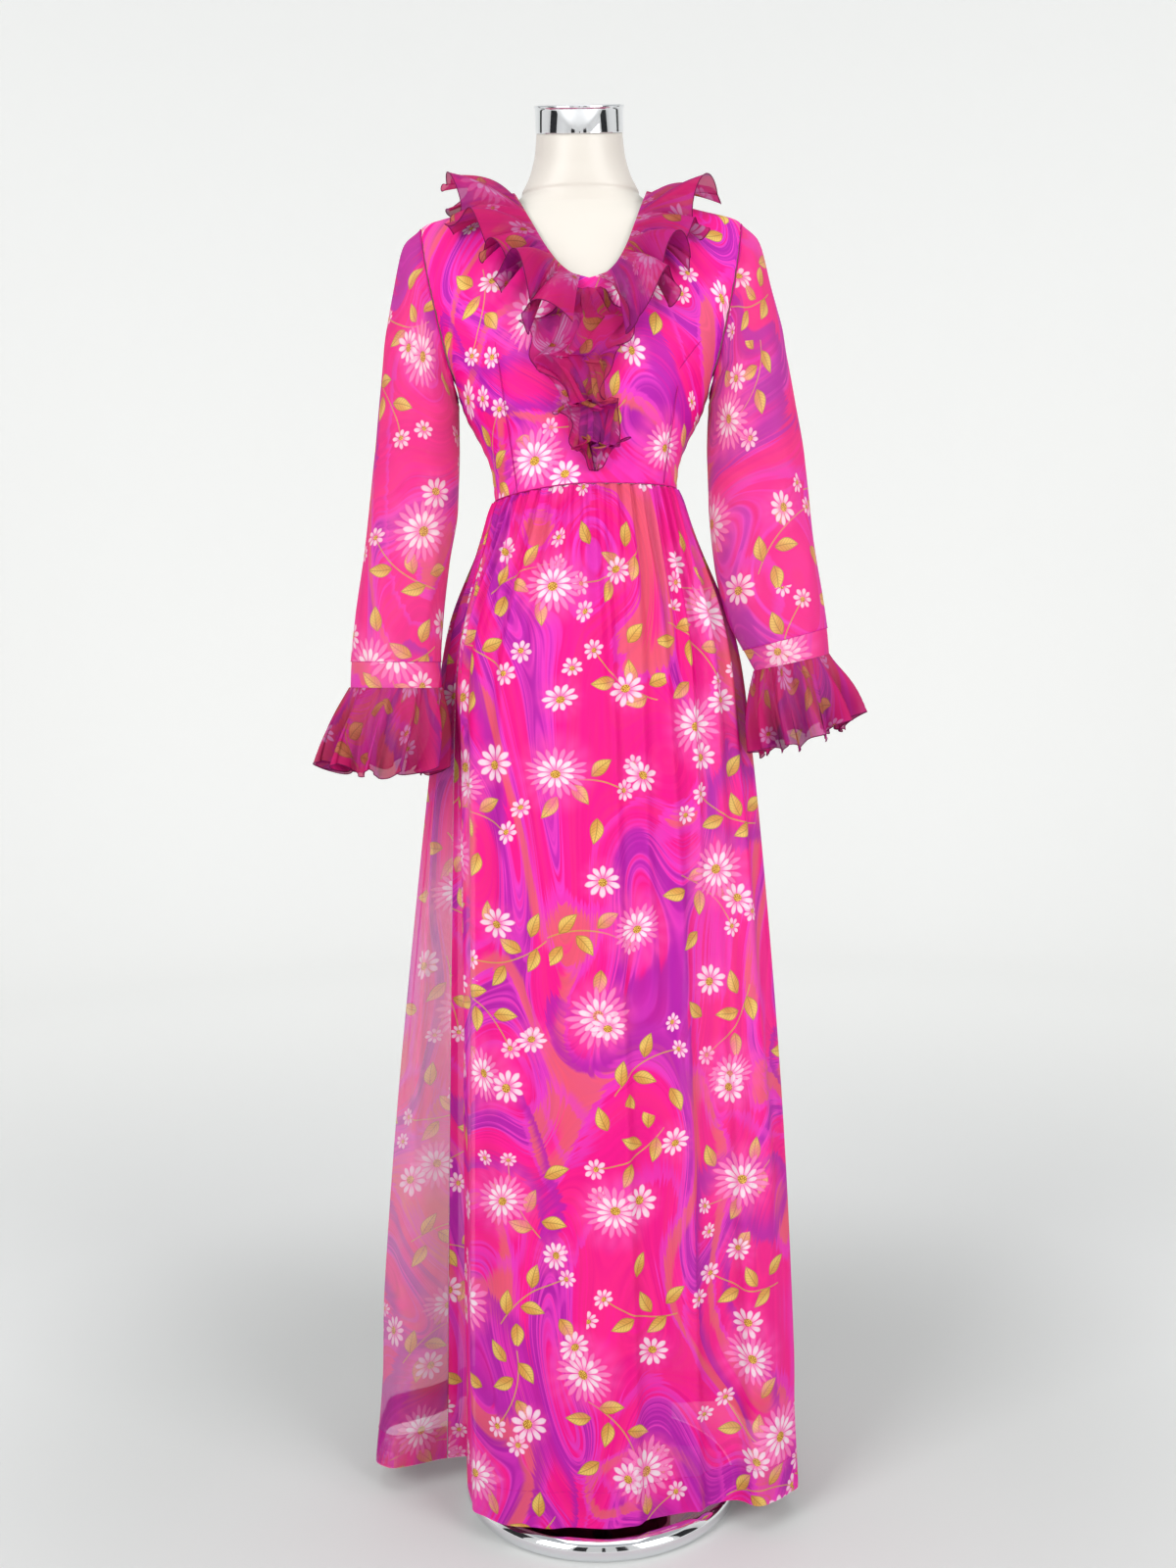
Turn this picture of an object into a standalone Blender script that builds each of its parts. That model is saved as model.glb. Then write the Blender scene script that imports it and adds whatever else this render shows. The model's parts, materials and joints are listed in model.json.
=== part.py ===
"""A gathered maxi dress with a frilled V-neck and frilled cuffs, worn by a limbless dress form.

Metres, +Z up. The front faces -Y, and +X is the viewer's right. The origin is the middle of
the base's underside. Every cloth piece is a grid laid on a surface that is worked out from the
tables of sizes below, and Solidify gives it its wall. A girth angle is 0 at centre front and
grows towards +X, round the back.
"""

import math
from collections import namedtuple

import bmesh
import bpy
import numpy as np
from mathutils import Matrix, Vector

# ---------------------------------------------------------------- driving dimensions

BODICE_WALL = 0.0015
SLEEVE_WALL = 0.0013
SKIRT_WALL = 0.0012
FRILL_WALL = 0.0010
LINING_WALL = 0.0010
SEAM_GAP = 0.0004  # between the edges of two pieces that are sewn together
LAID_GAP = 0.0004  # between a piece and the one it lies on

WAIST_Z = 1.200
WAIST_HALF = 0.1045
WAIST_DROP_LEFT = 0.012  # the waist seam sinks this much towards the left side
SHOULDER_X, SHOULDER_Z = 0.181, 1.497
NECK_X, NECK_Z = 0.0748, 1.528
NECK_V_X, NECK_V_Z = 0.008, 1.418
BACK_NECK_Z = 1.511
UNDERARM_Z = 1.304
SETTLE_Z = 1.40  # above this a panel's columns lean over to end where the top edge wants them

HIP_Z = 0.980
HEM_Z = 0.032
SKIRT_DROP = 0.0014  # the gathered edge starts this far below the bodice's edge
GATHERS = 44
GATHER_DEPTH = 0.0022
LEFT_SEAM_SHARE = 0.80  # the skirt's side seams, as shares of the girth from centre front
RIGHT_SEAM_SHARE = 0.25

ZIP_HALF = 0.0032
ZIP_GAP = 0.0009  # between the tape and the panels beside it
ZIP_TOP_Z = 1.506
ZIP_FOOT_Z = 1.036
SLIDER_Z = 1.486
SLIDER_SEAT = 0.0075  # the tape is flat this far above and below the slider
PULL_LENGTH = 0.017
PULL_OUT = 0.0049  # from the tape to the pull's hinge axis
PULL_REST = 0.0016  # between the pull's middle and the cloth it lies on

FORM_CLEAR = 0.0036  # between the form and the cloth round it
SEAT_CLEAR = 0.0013  # the same at the shoulders, where the dress hangs
SEAT_Z = 1.44  # where the clearance starts to narrow towards the shoulders
NECK_CLEAR = 0.22  # how fast the form draws in from the cloth above the shoulders
FORM_FOOT_Z = 0.800
BASE_RADIUS, BASE_HEIGHT = 0.1638, 0.026
POLE_RADIUS = 0.0125
CAP_RADIUS, CAP_HEIGHT = 0.0512, 0.0290
CAP_TILT = math.radians(19.5)
NECK_TOP_RADIUS = 0.0487
CAP_TOP = Vector((0.0, -0.012, 1.6285))

# ---------------------------------------------------------------- tables of sections

# The bodice from the waist to the neck: half width, depth before and behind the middle, and
# the power of its rounded outline (2 is an ellipse).
Ring = namedtuple("Ring", "z half_width front back power")
BODICE = [
    Ring(1.186, 0.1040, 0.0870, 0.0820, 2.10),
    Ring(1.200, 0.1045, 0.0880, 0.0825, 2.10),
    Ring(1.225, 0.1075, 0.0925, 0.0835, 2.12),
    Ring(1.250, 0.1170, 0.1000, 0.0855, 2.15),
    Ring(1.285, 0.1350, 0.1110, 0.0890, 2.20),
    Ring(1.304, 0.1415, 0.1150, 0.0915, 2.25),
    Ring(1.342, 0.1570, 0.1170, 0.0950, 2.30),
    Ring(1.380, 0.1720, 0.1080, 0.0970, 2.30),
    Ring(1.420, 0.1860, 0.0930, 0.0945, 2.30),
    Ring(1.450, 0.1900, 0.0790, 0.0870, 2.30),
    Ring(1.475, 0.1880, 0.0650, 0.0765, 2.20),
    Ring(1.497, 0.1810, 0.0530, 0.0640, 2.05),
    Ring(1.512, 0.1296, 0.0480, 0.0580, 2.00),
    Ring(1.528, 0.0748, 0.0440, 0.0540, 2.00),
]

# The form below the waist.
HIPS = [
    Ring(0.800, 0.1120, 0.0800, 0.0920, 2.05),
    Ring(0.820, 0.1155, 0.0830, 0.0950, 2.05),
    Ring(0.900, 0.1240, 0.0890, 0.1030, 2.05),
    Ring(0.970, 0.1285, 0.0920, 0.1070, 2.05),
    Ring(1.040, 0.1270, 0.0915, 0.1020, 2.05),
    Ring(1.110, 0.1165, 0.0880, 0.0910, 2.05),
    Ring(1.160, 0.1065, 0.0860, 0.0845, 2.05),
]

# The form's neck, which leans forward under the cap.
NeckRing = namedtuple("NeckRing", "z half_width half_depth centre_y lean")
NECK = [
    NeckRing(1.5300, 0.0690, 0.0450, 0.0050, 0.00),
    NeckRing(1.5380, 0.0660, 0.0465, 0.0045, 0.15),
    NeckRing(1.5520, 0.0588, 0.0470, 0.0035, 0.35),
    NeckRing(1.5660, 0.0540, 0.0475, 0.0025, 0.60),
    NeckRing(1.5800, 0.0508, 0.0480, 0.0005, 0.85),
]

# The neckline's half opening at a height, measured from a middle that moves to NECK_V_X.
NeckPoint = namedtuple("NeckPoint", "z half_width")
NECKLINE = [
    NeckPoint(1.418, 0.0000),
    NeckPoint(1.425, 0.0200),
    NeckPoint(1.450, 0.0400),
    NeckPoint(1.490, 0.0580),
    NeckPoint(1.510, 0.0665),
    NeckPoint(1.528, 0.0748),
]

# The armhole's edge on the front and on the back.
ArmPoint = namedtuple("ArmPoint", "z front_x back_x")
ARMHOLE = [
    ArmPoint(1.304, 0.1415, 0.1415),
    ArmPoint(1.320, 0.1435, 0.1455),
    ArmPoint(1.342, 0.1500, 0.1540),
    ArmPoint(1.403, 0.1640, 0.1690),
    ArmPoint(1.449, 0.1735, 0.1770),
    ArmPoint(1.480, 0.1785, 0.1800),
    ArmPoint(1.497, 0.1810, 0.1810),
]

# Sleeves from the armhole (along 0) to the edge of the wrist band (along 1): the section's
# outer and inner points, its half depth and where its middle lies. BAND_AT parts the band.
Section = namedtuple("Section", "along outer_x outer_z inner_x inner_z half_depth centre_y")
SLEEVE = {
    "left": [
        Section(0.00, 0.1810, 1.497, 0.1415, 1.304, 0.045, 0.000),
        Section(0.06, 0.1990, 1.478, 0.1436, 1.298, 0.050, -0.001),
        Section(0.15, 0.2130, 1.430, 0.1446, 1.288, 0.055, -0.002),
        Section(0.28, 0.2270, 1.361, 0.1450, 1.268, 0.056, -0.004),
        Section(0.42, 0.2350, 1.284, 0.1445, 1.232, 0.056, -0.009),
        Section(0.56, 0.2440, 1.205, 0.1460, 1.180, 0.053, -0.017),
        Section(0.70, 0.2520, 1.130, 0.1570, 1.118, 0.048, -0.029),
        Section(0.83, 0.2620, 1.060, 0.1650, 1.055, 0.041, -0.040),
        Section(0.93, 0.2675, 1.008, 0.1680, 1.006, 0.034, -0.049),
        Section(1.00, 0.2690, 0.979, 0.1675, 0.977, 0.031, -0.051),
    ],
    "right": [
        Section(0.00, 0.1810, 1.497, 0.1415, 1.304, 0.045, 0.000),
        Section(0.06, 0.1985, 1.478, 0.1436, 1.298, 0.050, -0.001),
        Section(0.15, 0.2130, 1.425, 0.1440, 1.288, 0.055, -0.002),
        Section(0.28, 0.2300, 1.361, 0.1430, 1.268, 0.056, -0.004),
        Section(0.42, 0.2430, 1.284, 0.1410, 1.232, 0.056, -0.009),
        Section(0.56, 0.2515, 1.205, 0.1405, 1.180, 0.054, -0.020),
        Section(0.70, 0.2580, 1.130, 0.1460, 1.112, 0.051, -0.034),
        Section(0.83, 0.2650, 1.072, 0.1590, 1.050, 0.047, -0.047),
        Section(0.93, 0.2690, 1.037, 0.1765, 1.014, 0.043, -0.054),
        Section(1.00, 0.2710, 1.008, 0.1890, 0.991, 0.041, -0.056),
    ],
}
BAND_AT = 0.93
BAND_GAP = 0.0008  # half the seam gap at the band, along the sleeve
CUFF_END = {
    "left": Section(2.0, 0.2900, 0.889, 0.1780, 0.885, 0.047, -0.060),
    "right": Section(2.0, 0.2950, 0.930, 0.1910, 0.897, 0.052, -0.062),
}
CUFF_WAVES = 12
CUFF_WAVE_DEPTH = 0.0075

# The skirt's plan, one row for each crest or valley of its folds: the share of the girth, the
# point at hip height, the point at the hem, and how far the fold bows out between the two.
Fold = namedtuple("Fold", "share hip_x hip_y hem_x hem_y bow")
FOLDS = [
    Fold(0.000, 0.0040, -0.1155, 0.0100, -0.1500, 0.000),
    Fold(0.045, 0.0420, -0.1120, 0.0560, -0.1290, 0.002),
    Fold(0.090, 0.0800, -0.1000, 0.1020, -0.1110, 0.004),
    Fold(0.130, 0.1080, -0.0860, 0.1320, -0.0945, 0.004),
    Fold(0.160, 0.1290, -0.0730, 0.1550, -0.0905, 0.004),
    Fold(0.190, 0.1480, -0.0620, 0.1895, -0.1015, 0.003),
    Fold(0.225, 0.1670, -0.0400, 0.2230, -0.0740, 0.006),
    Fold(0.260, 0.1775, -0.0080, 0.2270, -0.0250, 0.010),
    Fold(0.300, 0.1720, 0.0280, 0.2120, 0.0200, 0.008),
    Fold(0.345, 0.1600, 0.0620, 0.2200, 0.0700, 0.004),
    Fold(0.385, 0.1360, 0.0900, 0.1850, 0.0980, 0.002),
    Fold(0.415, 0.1120, 0.1100, 0.1640, 0.1440, 0.002),
    Fold(0.440, 0.0850, 0.1190, 0.1120, 0.1380, 0.002),
    Fold(0.470, 0.0480, 0.1275, 0.0600, 0.1700, 0.002),
    Fold(0.500, 0.0000, 0.1290, 0.0000, 0.1540, 0.000),
    Fold(0.530, -0.0460, 0.1280, -0.0580, 0.1760, 0.002),
    Fold(0.560, -0.0860, 0.1190, -0.1120, 0.1500, 0.002),
    Fold(0.600, -0.1200, 0.1030, -0.1660, 0.1680, 0.002),
    Fold(0.640, -0.1430, 0.0780, -0.2120, 0.1260, 0.002),
    Fold(0.680, -0.1590, 0.0500, -0.2620, 0.0960, 0.004),
    Fold(0.715, -0.1660, 0.0200, -0.2770, 0.0400, 0.004),
    Fold(0.745, -0.1640, -0.0120, -0.2605, -0.0030, 0.004),
    Fold(0.775, -0.1580, -0.0260, -0.2300, -0.0050, 0.003),
    Fold(0.800, -0.1520, -0.0340, -0.1880, 0.0100, 0.000),
    Fold(0.825, -0.1470, -0.0420, -0.1560, 0.0100, -0.002),
    Fold(0.850, -0.1430, -0.0530, -0.1615, -0.0240, -0.003),
    Fold(0.875, -0.1370, -0.0690, -0.1547, -0.0717, -0.002),
    Fold(0.900, -0.1240, -0.0860, -0.1419, -0.1038, 0.000),
    Fold(0.930, -0.0960, -0.1020, -0.1100, -0.1310, 0.000),
    Fold(0.965, -0.0480, -0.1130, -0.0500, -0.1390, 0.000),
]
# Heights of the skirt's rows of points, close together where the gathers spread.
SKIRT_ROWS = [0.000, 0.014, 0.036, 0.072, 0.118, 0.168, 0.270, 0.420, 0.580, 0.740, 0.900, 1.050, 1.1686]

# The narrow lining, from the waist down.
Tube = namedtuple("Tube", "z centre_x half_width centre_y half_depth")
LINING = [
    Tube(1.1800, 0.000, 0.1042, -0.0010, 0.0857),
    Tube(1.1500, 0.000, 0.1090, -0.0010, 0.0880),
    Tube(1.1000, 0.000, 0.1220, 0.0015, 0.0960),
    Tube(1.0300, 0.000, 0.1345, 0.0045, 0.1060),
    Tube(0.9500, -0.002, 0.1372, 0.0070, 0.1080),
    Tube(0.7800, -0.011, 0.1270, -0.0010, 0.1100),
    Tube(0.5000, -0.021, 0.1210, -0.0120, 0.1110),
    Tube(0.2000, -0.030, 0.1180, -0.0180, 0.1110),
    Tube(0.0700, -0.033, 0.1170, -0.0200, 0.1110),
]
LINING_POWER = 2.05

# The neck frill's outer edge from centre back (share 0) over the shoulder to the V (share 1).
FrillPoint = namedtuple("FrillPoint", "share x y z")
NECK_FRILL = {
    "left": [
        FrillPoint(0.00, 0.0160, 0.1030, 1.458),
        FrillPoint(0.16, 0.0600, 0.1060, 1.460),
        FrillPoint(0.28, 0.1080, 0.0840, 1.486),
        FrillPoint(0.38, 0.1440, 0.0400, 1.520),
        FrillPoint(0.46, 0.1520, 0.0020, 1.548),
        FrillPoint(0.55, 0.1460, -0.0420, 1.508),
        FrillPoint(0.66, 0.1270, -0.0760, 1.466),
        FrillPoint(0.76, 0.0980, -0.1060, 1.434),
        FrillPoint(0.86, 0.0790, -0.1240, 1.397),
        FrillPoint(0.94, 0.0560, -0.1350, 1.368),
        FrillPoint(1.00, 0.0230, -0.1400, 1.352),
    ],
    "right": [
        FrillPoint(0.00, 0.0160, 0.1030, 1.458),
        FrillPoint(0.16, 0.0600, 0.1060, 1.462),
        FrillPoint(0.28, 0.1080, 0.0840, 1.486),
        FrillPoint(0.38, 0.1420, 0.0400, 1.516),
        FrillPoint(0.46, 0.1490, 0.0000, 1.538),
        FrillPoint(0.55, 0.1440, -0.0440, 1.502),
        FrillPoint(0.66, 0.1230, -0.0760, 1.456),
        FrillPoint(0.76, 0.1060, -0.1020, 1.420),
        FrillPoint(0.86, 0.0860, -0.1220, 1.384),
        FrillPoint(0.94, 0.0640, -0.1350, 1.362),
        FrillPoint(1.00, 0.0300, -0.1400, 1.354),
    ],
}
NECK_FRILL_WAVES = 9
NECK_FRILL_DEPTH = 0.010
FRILL_OVER_Z = 1.425  # below this the frill stands off further, over the top of the jabot
JABOT_ROOM = 0.012
ZIP_CLEAR_X = 0.014  # the frill's two back ends stop this far from centre back
BACK_SHARE = 0.34  # the part of the frill's seam that runs round the back of the neck

# The jabot from the V down: where its two edges are, and how far it stands off the bodice.
JabotRow = namedtuple("JabotRow", "z left_x right_x lift")
JABOT = [
    JabotRow(1.404, -0.0060, 0.0220, 0.0000),
    JabotRow(1.385, -0.0330, 0.0420, 0.0040),
    JabotRow(1.360, -0.0610, 0.0560, 0.0060),
    JabotRow(1.330, -0.0560, 0.0300, 0.0090),
    JabotRow(1.290, -0.0290, 0.0270, 0.0110),
    JabotRow(1.250, -0.0190, 0.0420, 0.0100),
    JabotRow(1.212, 0.0060, 0.0150, 0.0060),
]
JABOT_WAVES = 3
JABOT_WAVE_DEPTH = 0.0050

# ---------------------------------------------------------------- curves through the tables


def level_curve(rows, key, value):
    """A curve through one column of a table that never swings past its rows."""
    xs = np.array([getattr(row, key) for row in rows], float)
    ys = np.array([getattr(row, value) for row in rows], float)
    slopes = np.diff(ys) / np.diff(xs)
    tangents = np.concatenate([slopes[:1], np.zeros(len(xs) - 2), slopes[-1:]])
    for i in range(1, len(xs) - 1):
        before, after = slopes[i - 1], slopes[i]
        if before * after > 0:
            tangents[i] = 2 * before * after / (before + after)
    return lambda x: hermite(xs, ys, tangents, x)


def round_curve(xs, ys):
    """A rounder curve, for folds, whose slope at a row is that between its neighbours."""
    xs, ys = np.array(xs, float), np.array(ys, float)
    tangents = np.gradient(ys, xs)
    return lambda x: hermite(xs, ys, tangents, x)


def hermite(xs, ys, tangents, x):
    x = min(max(x, xs[0]), xs[-1])
    i = min(int(np.searchsorted(xs, x, side="right")) - 1, len(xs) - 2)
    step = xs[i + 1] - xs[i]
    t = (x - xs[i]) / step
    ends = (2 * t**3 - 3 * t**2 + 1) * ys[i] + (3 * t**2 - 2 * t**3) * ys[i + 1]
    leans = (t**3 - 2 * t**2 + t) * tangents[i] + (t**3 - t**2) * tangents[i + 1]
    return float(ends + leans * step)


def columns_of(rows, key):
    """Each other column of a table as a curve of the key column."""
    names = [name for name in rows[0]._fields if name != key]
    return {name: level_curve(rows, key, name) for name in names}


def outline_depth(x, half_width, depth, power):
    """How deep a rounded outline is at x."""
    share = min(abs(x) / half_width, 1.0)
    return depth * (1.0 - share**power) ** (1.0 / power)


def outline_point(angle, half_width, front, back, power, z):
    """The point of a rounded outline at a girth angle."""
    across, along = math.sin(angle), math.cos(angle)
    depth = front if along > 0 else back
    x = half_width * math.copysign(abs(across) ** (2 / power), across)
    return Vector((x, -depth * math.copysign(abs(along) ** (2 / power), along), z))


# ---------------------------------------------------------------- the bodice's surface

BODY = columns_of(BODICE, "z")
ARM = columns_of(ARMHOLE, "z")
NECK_OPEN = level_curve(NECKLINE, "z", "half_width")


def body_y(x, z, side):
    """The bodice's inner surface at a point of the front (side -1) or the back (side 1)."""
    depth = BODY["front" if side < 0 else "back"](z)
    return side * outline_depth(x, BODY["half_width"](z), depth, BODY["power"](z))


def body_normal(x, z, side):
    """The outward direction of that surface."""
    step = 0.002
    across = (body_y(x + step, z, side) - body_y(x - step, z, side)) / (2 * step)
    upward = (body_y(x, z + step, side) - body_y(x, z - step, side)) / (2 * step)
    return Vector((-side * across, side, -side * upward)).normalized()


def panel_edge_x(z, side):
    """The half width of a bodice panel: the side seam, then the armhole."""
    if z <= UNDERARM_Z:
        return BODY["half_width"](z)
    return ARM["front_x" if side < 0 else "back_x"](z)


def waist_z(x):
    """The waist seam, a little lower towards the left side."""
    leftness = min(max(-x / WAIST_HALF, 0.0), 1.0)
    return WAIST_Z - WAIST_DROP_LEFT * leftness**1.5


def ridge_z(x):
    """The shoulder seam from the neck to the armhole."""
    return float(np.interp(abs(x), [NECK_X, SHOULDER_X], [NECK_Z, SHOULDER_Z]))


def neck_shift(z):
    """How far the middle of the neckline has moved towards the V at a height."""
    return NECK_V_X * (NECK_Z - z) / (NECK_Z - NECK_V_Z)


def neckline_x(z, hand):
    """The neck edge's x on the front, on the left (hand -1) or the right (hand 1)."""
    return neck_shift(z) + hand * NECK_OPEN(z)


def neckline_z(x):
    """The height of the front neck edge above x."""
    heights = np.linspace(NECK_V_Z, NECK_Z, 45)
    hand = -1 if x < NECK_V_X else 1
    edge = [hand * neckline_x(z, hand) for z in heights]
    return float(np.interp(hand * x, edge, heights))


def back_neck_z(x):
    """The height of the back neck edge above x."""
    return BACK_NECK_Z + (NECK_Z - BACK_NECK_Z) * (abs(x) / NECK_X) ** 2


# ---------------------------------------------------------------- making the objects

dress = bpy.data.collections.new("maxi_dress")
helpers = bpy.data.collections.new("cutters")


def clear_scene():
    for obj in list(bpy.data.objects):
        bpy.data.objects.remove(obj, do_unlink=True)
    bpy.context.scene.collection.children.link(dress)
    bpy.context.scene.collection.children.link(helpers)
    helpers.hide_render = True


def finish_of(name, colour, roughness, metallic=0.0):
    material = bpy.data.materials.new(name)
    material.use_nodes = True
    shader = material.node_tree.nodes["Principled BSDF"]
    shader.inputs["Base Color"].default_value = (*colour, 1.0)
    shader.inputs["Roughness"].default_value = roughness
    shader.inputs["Metallic"].default_value = metallic
    material.diffuse_color = (*colour, 1.0)
    return material


def add_object(name, bm, material, smooth=True):
    mesh = bpy.data.meshes.new(name)
    bm.to_mesh(mesh)
    bm.free()
    if smooth:
        mesh.shade_smooth()
        mesh.set_sharp_from_angle(angle=math.radians(50))
    mesh.materials.append(material)
    obj = bpy.data.objects.new(name, mesh)
    dress.objects.link(obj)
    return obj


def laid_grid(columns, rows, place, closes=False):
    """A grid whose points place(u, v) puts where they belong, u across and v upward."""
    bm = bmesh.new()
    bmesh.ops.create_grid(bm, x_segments=columns, y_segments=rows, size=0.5)
    for vert in bm.verts:
        u = round((vert.co.x + 0.5) * columns) / columns
        v = round((vert.co.y + 0.5) * rows) / rows
        vert.co = place(u, v)
    if closes:
        bmesh.ops.remove_doubles(bm, verts=bm.verts, dist=0.00001)
    return bm


def cloth(name, columns, rows, place, wall, material, closes=False):
    """A cloth piece: an open grid whose wall is built outward."""
    obj = add_object(name, laid_grid(columns, rows, place, closes), material)
    solid = obj.modifiers.new("Wall", "SOLIDIFY")
    solid.thickness = wall
    solid.offset = 1.0
    return obj


def lofted(name, columns, rows, place, material):
    """A closed body: a tube of sections whose two ends are filled."""
    bm = laid_grid(columns, rows, place, closes=True)
    bmesh.ops.holes_fill(bm, edges=bm.edges, sides=columns)
    bmesh.ops.recalc_face_normals(bm, faces=bm.faces)
    return add_object(name, bm, material)


def turned(name, profile, steps, material):
    """A profile of (radius, z) points, from the top down its outer side, turned round Z."""
    bm = bmesh.new()
    points = [bm.verts.new((radius, 0.0, z)) for radius, z in profile]
    for first, second in zip(points, points[1:]):
        bm.edges.new((first, second))
    obj = add_object(name, bm, material, smooth=False)
    screw = obj.modifiers.new("Turn", "SCREW")
    screw.steps = steps
    screw.render_steps = steps
    screw.use_merge_vertices = True
    screw.merge_threshold = 0.00001
    screw.use_smooth_shade = True
    return obj


# ---------------------------------------------------------------- the form

FORM_RINGS = HIPS + [ring for ring in BODICE if ring.z > 1.19]
FORM = columns_of(FORM_RINGS, "z")


def form_point(z, angle):
    """The form inside the dress, a little smaller than the bodice all over."""
    share = min(max((z - SEAT_Z) / (SHOULDER_Z - SEAT_Z), 0.0), 1.0)
    clear = FORM_CLEAR + (SEAT_CLEAR - FORM_CLEAR) * share
    clear += NECK_CLEAR * max(0.0, z - SHOULDER_Z)
    level = z + clear * share
    sizes = [FORM[name](level) - clear for name in ("half_width", "front", "back")]
    return outline_point(angle, *sizes, FORM["power"](level), z)


def form_bust(material):
    """The hollow shell as one body: hips, waist, bust, shoulders and the neck up to the cap."""
    body_rows = list(np.linspace(FORM_FOOT_Z, WAIST_Z, 8)) + [1.24, 1.28, 1.32, 1.36, 1.40, 1.435]
    body_rows += [1.465, 1.484, 1.4955, 1.506, 1.517]
    top = CAP_TOP - (CAP_HEIGHT + 0.0003) * cap_axis()
    rows = len(body_rows) + len(NECK) + 1

    def place(u, v):
        angle = 2 * math.pi * u
        row = round(v * (rows - 1))
        if row < len(body_rows):
            return form_point(body_rows[row], angle)
        if row < rows - 1:
            ring = NECK[row - len(body_rows)]
            centre = Vector((0.0, ring.centre_y, ring.z))
            return leaning_ring(centre, ring.half_width, ring.half_depth, ring.lean, angle)
        return leaning_ring(top, NECK_TOP_RADIUS, NECK_TOP_RADIUS, 1.0, angle)

    lofted("form_bust", 32, rows - 1, place, material)


def cap_axis():
    return Vector((0.0, -math.sin(CAP_TILT), math.cos(CAP_TILT)))


def leaning_ring(centre, half_width, half_depth, lean, angle):
    tilt = CAP_TILT * lean
    front = Vector((0.0, -math.cos(tilt), -math.sin(tilt)))
    across = Vector((half_width * math.sin(angle), 0.0, 0.0))
    return centre + half_depth * math.cos(angle) * front + across


def form_cap(material):
    """The chrome cap, a little wider at its rolled top edge."""
    body = CAP_RADIUS - 0.0012
    profile = [
        (0.0, CAP_HEIGHT),
        (CAP_RADIUS - 0.0030, CAP_HEIGHT),
        (CAP_RADIUS - 0.0008, CAP_HEIGHT - 0.0008),
        (CAP_RADIUS, CAP_HEIGHT - 0.0026),
        (CAP_RADIUS - 0.0004, CAP_HEIGHT - 0.0040),
        (body, CAP_HEIGHT - 0.0050),
        (body, 0.0010),
        (body - 0.0010, 0.0),
        (0.0, 0.0),
    ]
    cap = turned("form_neck_cap", profile, 32, material)
    cap.location = CAP_TOP - CAP_HEIGHT * cap_axis()
    cap.rotation_euler = (CAP_TILT, 0.0, 0.0)


def form_base(material):
    """The chrome base: a flat disc with a rounded rim and a low collar for the pole."""
    profile = [
        (0.0, BASE_HEIGHT + 0.0010),
        (0.110, BASE_HEIGHT + 0.0005),
        (BASE_RADIUS - 0.022, BASE_HEIGHT - 0.0006),
        (BASE_RADIUS - 0.010, BASE_HEIGHT - 0.0035),
        (BASE_RADIUS - 0.003, BASE_HEIGHT - 0.0090),
        (BASE_RADIUS, 0.0115),
        (BASE_RADIUS - 0.0015, 0.0050),
        (BASE_RADIUS - 0.0060, 0.0),
        (0.0, 0.0),
    ]
    turned("form_base", profile, 44, material)


def form_pole(material):
    """The pole between the base and the foot of the bust."""
    foot = BASE_HEIGHT + 0.0013
    top = FORM_FOOT_Z - 0.0003
    bm = bmesh.new()
    lift = Matrix.Translation((0.0, 0.0, (foot + top) / 2))
    bmesh.ops.create_cone(
        bm, cap_ends=True, segments=20, radius1=POLE_RADIUS, radius2=POLE_RADIUS,
        depth=top - foot, matrix=lift,
    )
    add_object("form_pole", bm, material)


# ---------------------------------------------------------------- the bodice


def climb(v):
    """Rows lie closer together towards the top of a panel."""
    return 1.0 - (1.0 - v) ** 1.8


HALF_COLUMNS = 12  # of a bodice panel, from the middle to the side
BODICE_ROWS = 13
NECK_STOPS = [0.00, 0.42, 0.74, 0.91, 0.98, 1.00]  # where the neck's columns end, of NECK_X
NECK_SHARE = (len(NECK_STOPS) - 1) / HALF_COLUMNS
NECK_TURN = math.asin(NECK_X / SHOULDER_X)


def top_edge_x(across):
    """Where a half panel's column ends: at the neck, then along the shoulder, closer and closer."""
    if across <= NECK_SHARE + 1e-6:
        return NECK_X * NECK_STOPS[round(across * HALF_COLUMNS)]
    turn = NECK_TURN + (math.pi / 2 - NECK_TURN) * (across - NECK_SHARE) / (1 - NECK_SHARE)
    return SHOULDER_X * math.sin(turn)


def settled(z, top_z):
    """How far a column has gone on its way from SETTLE_Z to its own top end."""
    return max(0.0, (z - SETTLE_Z) / (top_z - SETTLE_Z))


def bodice_front(material):
    """The front in one piece from side seam to side seam, cut away at the V."""

    def place(u, v):
        across = 2 * u - 1
        top_x = math.copysign(top_edge_x(abs(across)), across)
        if abs(top_x) < NECK_X:
            top_x += NECK_V_X * (1 - abs(top_x) / NECK_X)
        top_z = neckline_z(top_x) if abs(top_x) < NECK_X else ridge_z(top_x)
        low_z = waist_z(top_x / SHOULDER_X * WAIST_HALF)
        z = low_z + (top_z - low_z) * climb(v)
        x = top_x / SHOULDER_X * panel_edge_x(z, -1)
        x += (top_x - top_x / SHOULDER_X * panel_edge_x(top_z, -1)) * settled(z, top_z)
        return Vector((x, body_y(x, z, -1) - SEAM_GAP / 2, z))

    cloth("bodice_front", 2 * HALF_COLUMNS, BODICE_ROWS, place, BODICE_WALL, material)


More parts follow.
